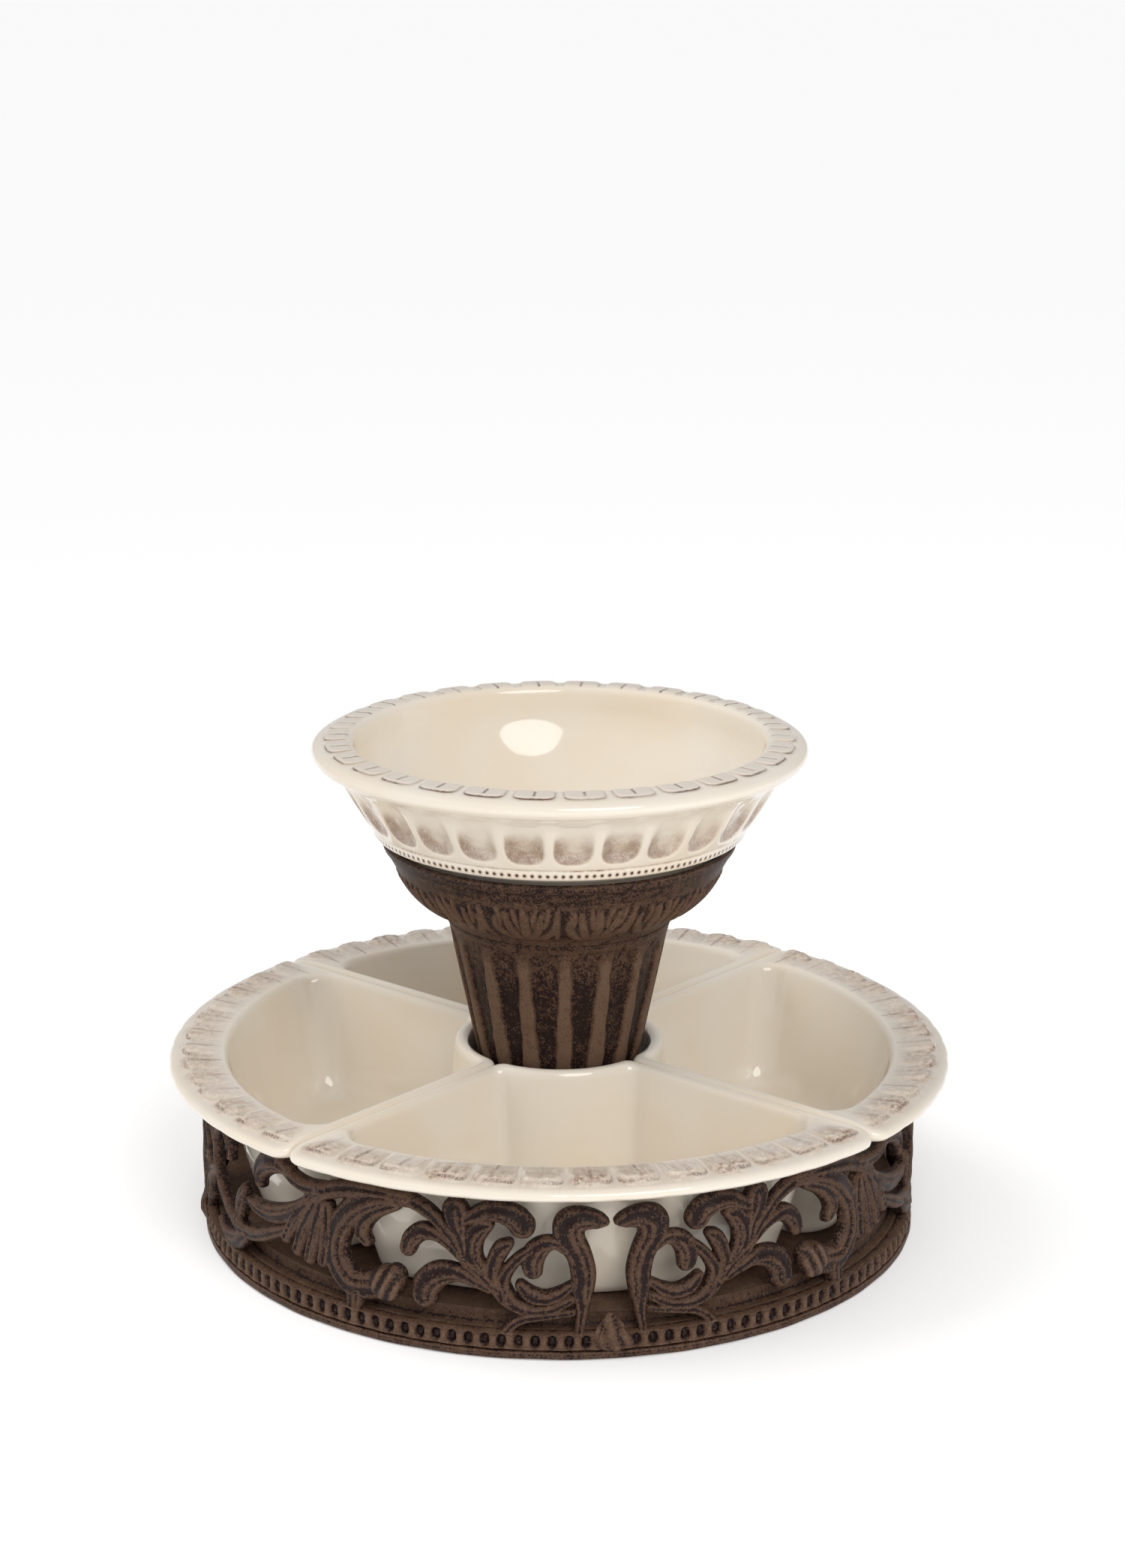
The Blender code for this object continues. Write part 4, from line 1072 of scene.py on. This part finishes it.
def hexagon_nut(side, surface):
    columns = 96
    low = NUT_LOWS[side]
    azimuth = np.arange(columns) * 360.0 / columns
    hexagon = NUT_HALF_FLATS / np.cos(np.radians((azimuth + 30) % 60 - 30))
    rows = []
    for share in (0.0, 0.04, 0.1, 0.17, 0.5, 0.83, 0.9, 0.96, 1.0):
        from_end = min(share, 1 - share) * NUT_HEIGHT
        chamfer = NUT_FACE_R + 1.73 * from_end
        rows.append((np.minimum(hexagon, chamfer), low + share * NUT_HEIGHT))
    flat = np.ones(columns)
    for share in (1.0, 0.92, 0.5, 0.08, 0.0):
        flare = 0.5 if share in (0.0, 1.0) else 0.0
        rows.append(((HOLE_R + flare) * flat, low + share * NUT_HEIGHT))
    r = np.array([row[0] for row in rows])
    z = np.repeat(np.array([row[1] for row in rows])[:, None], columns, axis=1)
    aa = np.repeat(azimuth[None, :], len(rows), axis=0)
    add_piece(f"{side}_hexagon_nut", polar_points(r, aa, z), grid_faces(len(rows), columns, True), surface,
              "stand", (f"{side}_nut",), sharp=25.0)


def washer(side, surface):
    low, high = WASHER_LOWS[side], WASHER_LOWS[side] + WASHER_HEIGHT
    outline = np.array([(11.6, low), (12.0, low + 0.3), (12.0, high - 0.5), (11.5, high), (8.5, high),
                        (5.8, high), (HOLE_R, high - 0.3), (HOLE_R, low + 0.3), (5.8, low), (8.5, low)])

    def plain(r, z, azimuth):
        return 0 * r, {}

    turned_piece(f"{side}_flat_washer", outline, 64, plain, surface, "stand",
                 (f"{side}_washer",), close=True, sharp=40.0)


FOOT_OUTLINE = [(5.6, 0.5), (6.6, 0.0), (8.3, 0.0), (8.9, 0.4), (9.0, 1.2), (8.8, 2.5), (8.2, 3.0),
                (6.0, 3.2)]
BUMPER_R, BUMPER_LOW = 65.0, 196.6
BUMPER_OUTLINE = [(3.5, 0.0), (3.9, 0.2), (4.0, 0.9), (3.7, 1.8), (3.0, 2.4), (1.8, 2.65)]


def pads(surface):
    for k, corner in enumerate(("front_right", "back_right", "back_left", "front_left")):
        small_solid(f"foot_{corner}_rubber", FOOT_OUTLINE, 48, (FOOT_R, FOOT_AZIMUTH + 90 * k), surface,
                    (f"foot_{corner}",))
    bumper = [(r, BUMPER_LOW + z) for r, z in BUMPER_OUTLINE]
    for k, side in enumerate(SIDES):
        small_solid(f"bumper_{side}_rubber", bumper, 36, (BUMPER_R, DISH_AZIMUTH + 90 * k), surface,
                    (f"bumper_{side}",))


# Studio, in metres

FLOOR_HALF = 60.0
WORLD_LIGHT = 0.56
WINDOW_POWER, WINDOW_SIZE = 23, (1.35, 1.45)
WINDOW_PLACE, WINDOW_TARGET = (0.60, -1.72, 1.44), (0, 0, 0.25)
KEY_LIGHT, KEY_SPREAD = 1.25, 60
KEY_PLACE, KEY_TARGET = (-2.4, 0.5, 1.9), (0, 0, 0)
CAMERA_PLACE = (0.0, -1.6877, 0.7234)
CAMERA_DOWN, CAMERA_ROLL, CAMERA_TURN = 15.31, -0.13, -0.02
SENSOR_WIDTH, LENS = 36.0, 69.73


def stage_floor():
    """A large white floor."""
    mesh = bpy.data.meshes.new("studio_floor")
    corners = [(x * FLOOR_HALF, y * FLOOR_HALF, 0) for x, y in ((-1, -1), (1, -1), (1, 1), (-1, 1))]
    mesh.from_pydata(corners, [], [(0, 1, 2, 3)])
    glow = {"Emission Color": (1, 1, 1), "Emission Strength": 0.22}
    mesh.materials.append(Nodes("studio_white").finish((0.93, 0.93, 0.93), 0.8, fixed=glow))
    floor = bpy.data.objects.new("studio_floor", mesh)
    bpy.context.collection.objects.link(floor)


def aim_lamp(name, data, place, target):
    lamp = bpy.data.objects.new(name, data)
    bpy.context.collection.objects.link(lamp)
    lamp.location = place
    x, y, z = (t - p for t, p in zip(target, place))
    lamp.rotation_euler = (math.atan2(math.hypot(x, y), -z), 0.0, math.atan2(-x, y))
    return lamp


def studio():
    """Even white surroundings, a large soft window to the front right and a soft key from the left."""
    world = bpy.data.worlds.new("studio")
    world.use_nodes = True
    nodes, links = world.node_tree.nodes, world.node_tree.links
    background = nodes["Background"]
    background.inputs[0].default_value = (1.0, 1.0, 1.0, 1.0)
    # The camera sees full white, and the object is lit by WORLD_LIGHT.
    path = nodes.new("ShaderNodeLightPath")
    seen = nodes.new("ShaderNodeMapRange")
    seen.inputs["To Min"].default_value = WORLD_LIGHT
    seen.inputs["To Max"].default_value = 1.0
    links.new(path.outputs["Is Camera Ray"], seen.inputs["Value"])
    links.new(seen.outputs[0], background.inputs["Strength"])
    bpy.context.scene.world = world
    window = bpy.data.lights.new("window", "AREA")
    window.shape = "ELLIPSE"
    window.size, window.size_y = WINDOW_SIZE
    window.energy = WINDOW_POWER
    aim_lamp("window", window, WINDOW_PLACE, WINDOW_TARGET)
    key = bpy.data.lights.new("soft_key", "SUN")
    key.energy = KEY_LIGHT
    key.angle = math.radians(KEY_SPREAD)
    lamp = aim_lamp("soft_key", key, KEY_PLACE, KEY_TARGET)
    lamp.visible_glossy = False
    bpy.context.scene.view_settings.view_transform = "Standard"


def camera():
    data = bpy.data.cameras.new("photo_view")
    data.sensor_width = SENSOR_WIDTH
    data.lens = LENS
    data.clip_end = FLOOR_HALF
    view = bpy.data.objects.new("photo_view", data)
    bpy.context.collection.objects.link(view)
    view.location = CAMERA_PLACE
    turns = (90 - CAMERA_DOWN, CAMERA_ROLL, CAMERA_TURN)
    view.rotation_euler = tuple(math.radians(turn) for turn in turns)
    bpy.context.scene.camera = view


def build():
    camera()
    stage_floor()
    studio()
    glaze = glaze_material("dish_glaze", False)
    bowl_glaze = glaze_material("bowl_glaze", True)
    patina = patina_material()
    steel = steel_material()
    rubber = rubber_material()
    base_tray(patina)
    gallery(patina)
    weld_lumps(patina)
    pedestal_shaft(patina)
    pedestal_cup(patina)
    tie_rod(steel)
    for side in ("top", "bottom"):
        hexagon_nut(side, steel)
        washer(side, steel)
    pads(rubber)
    dip_bowl(bowl_glaze)
    for index, side in enumerate(SIDES):
        quarter_dish(side, index, glaze)


build()
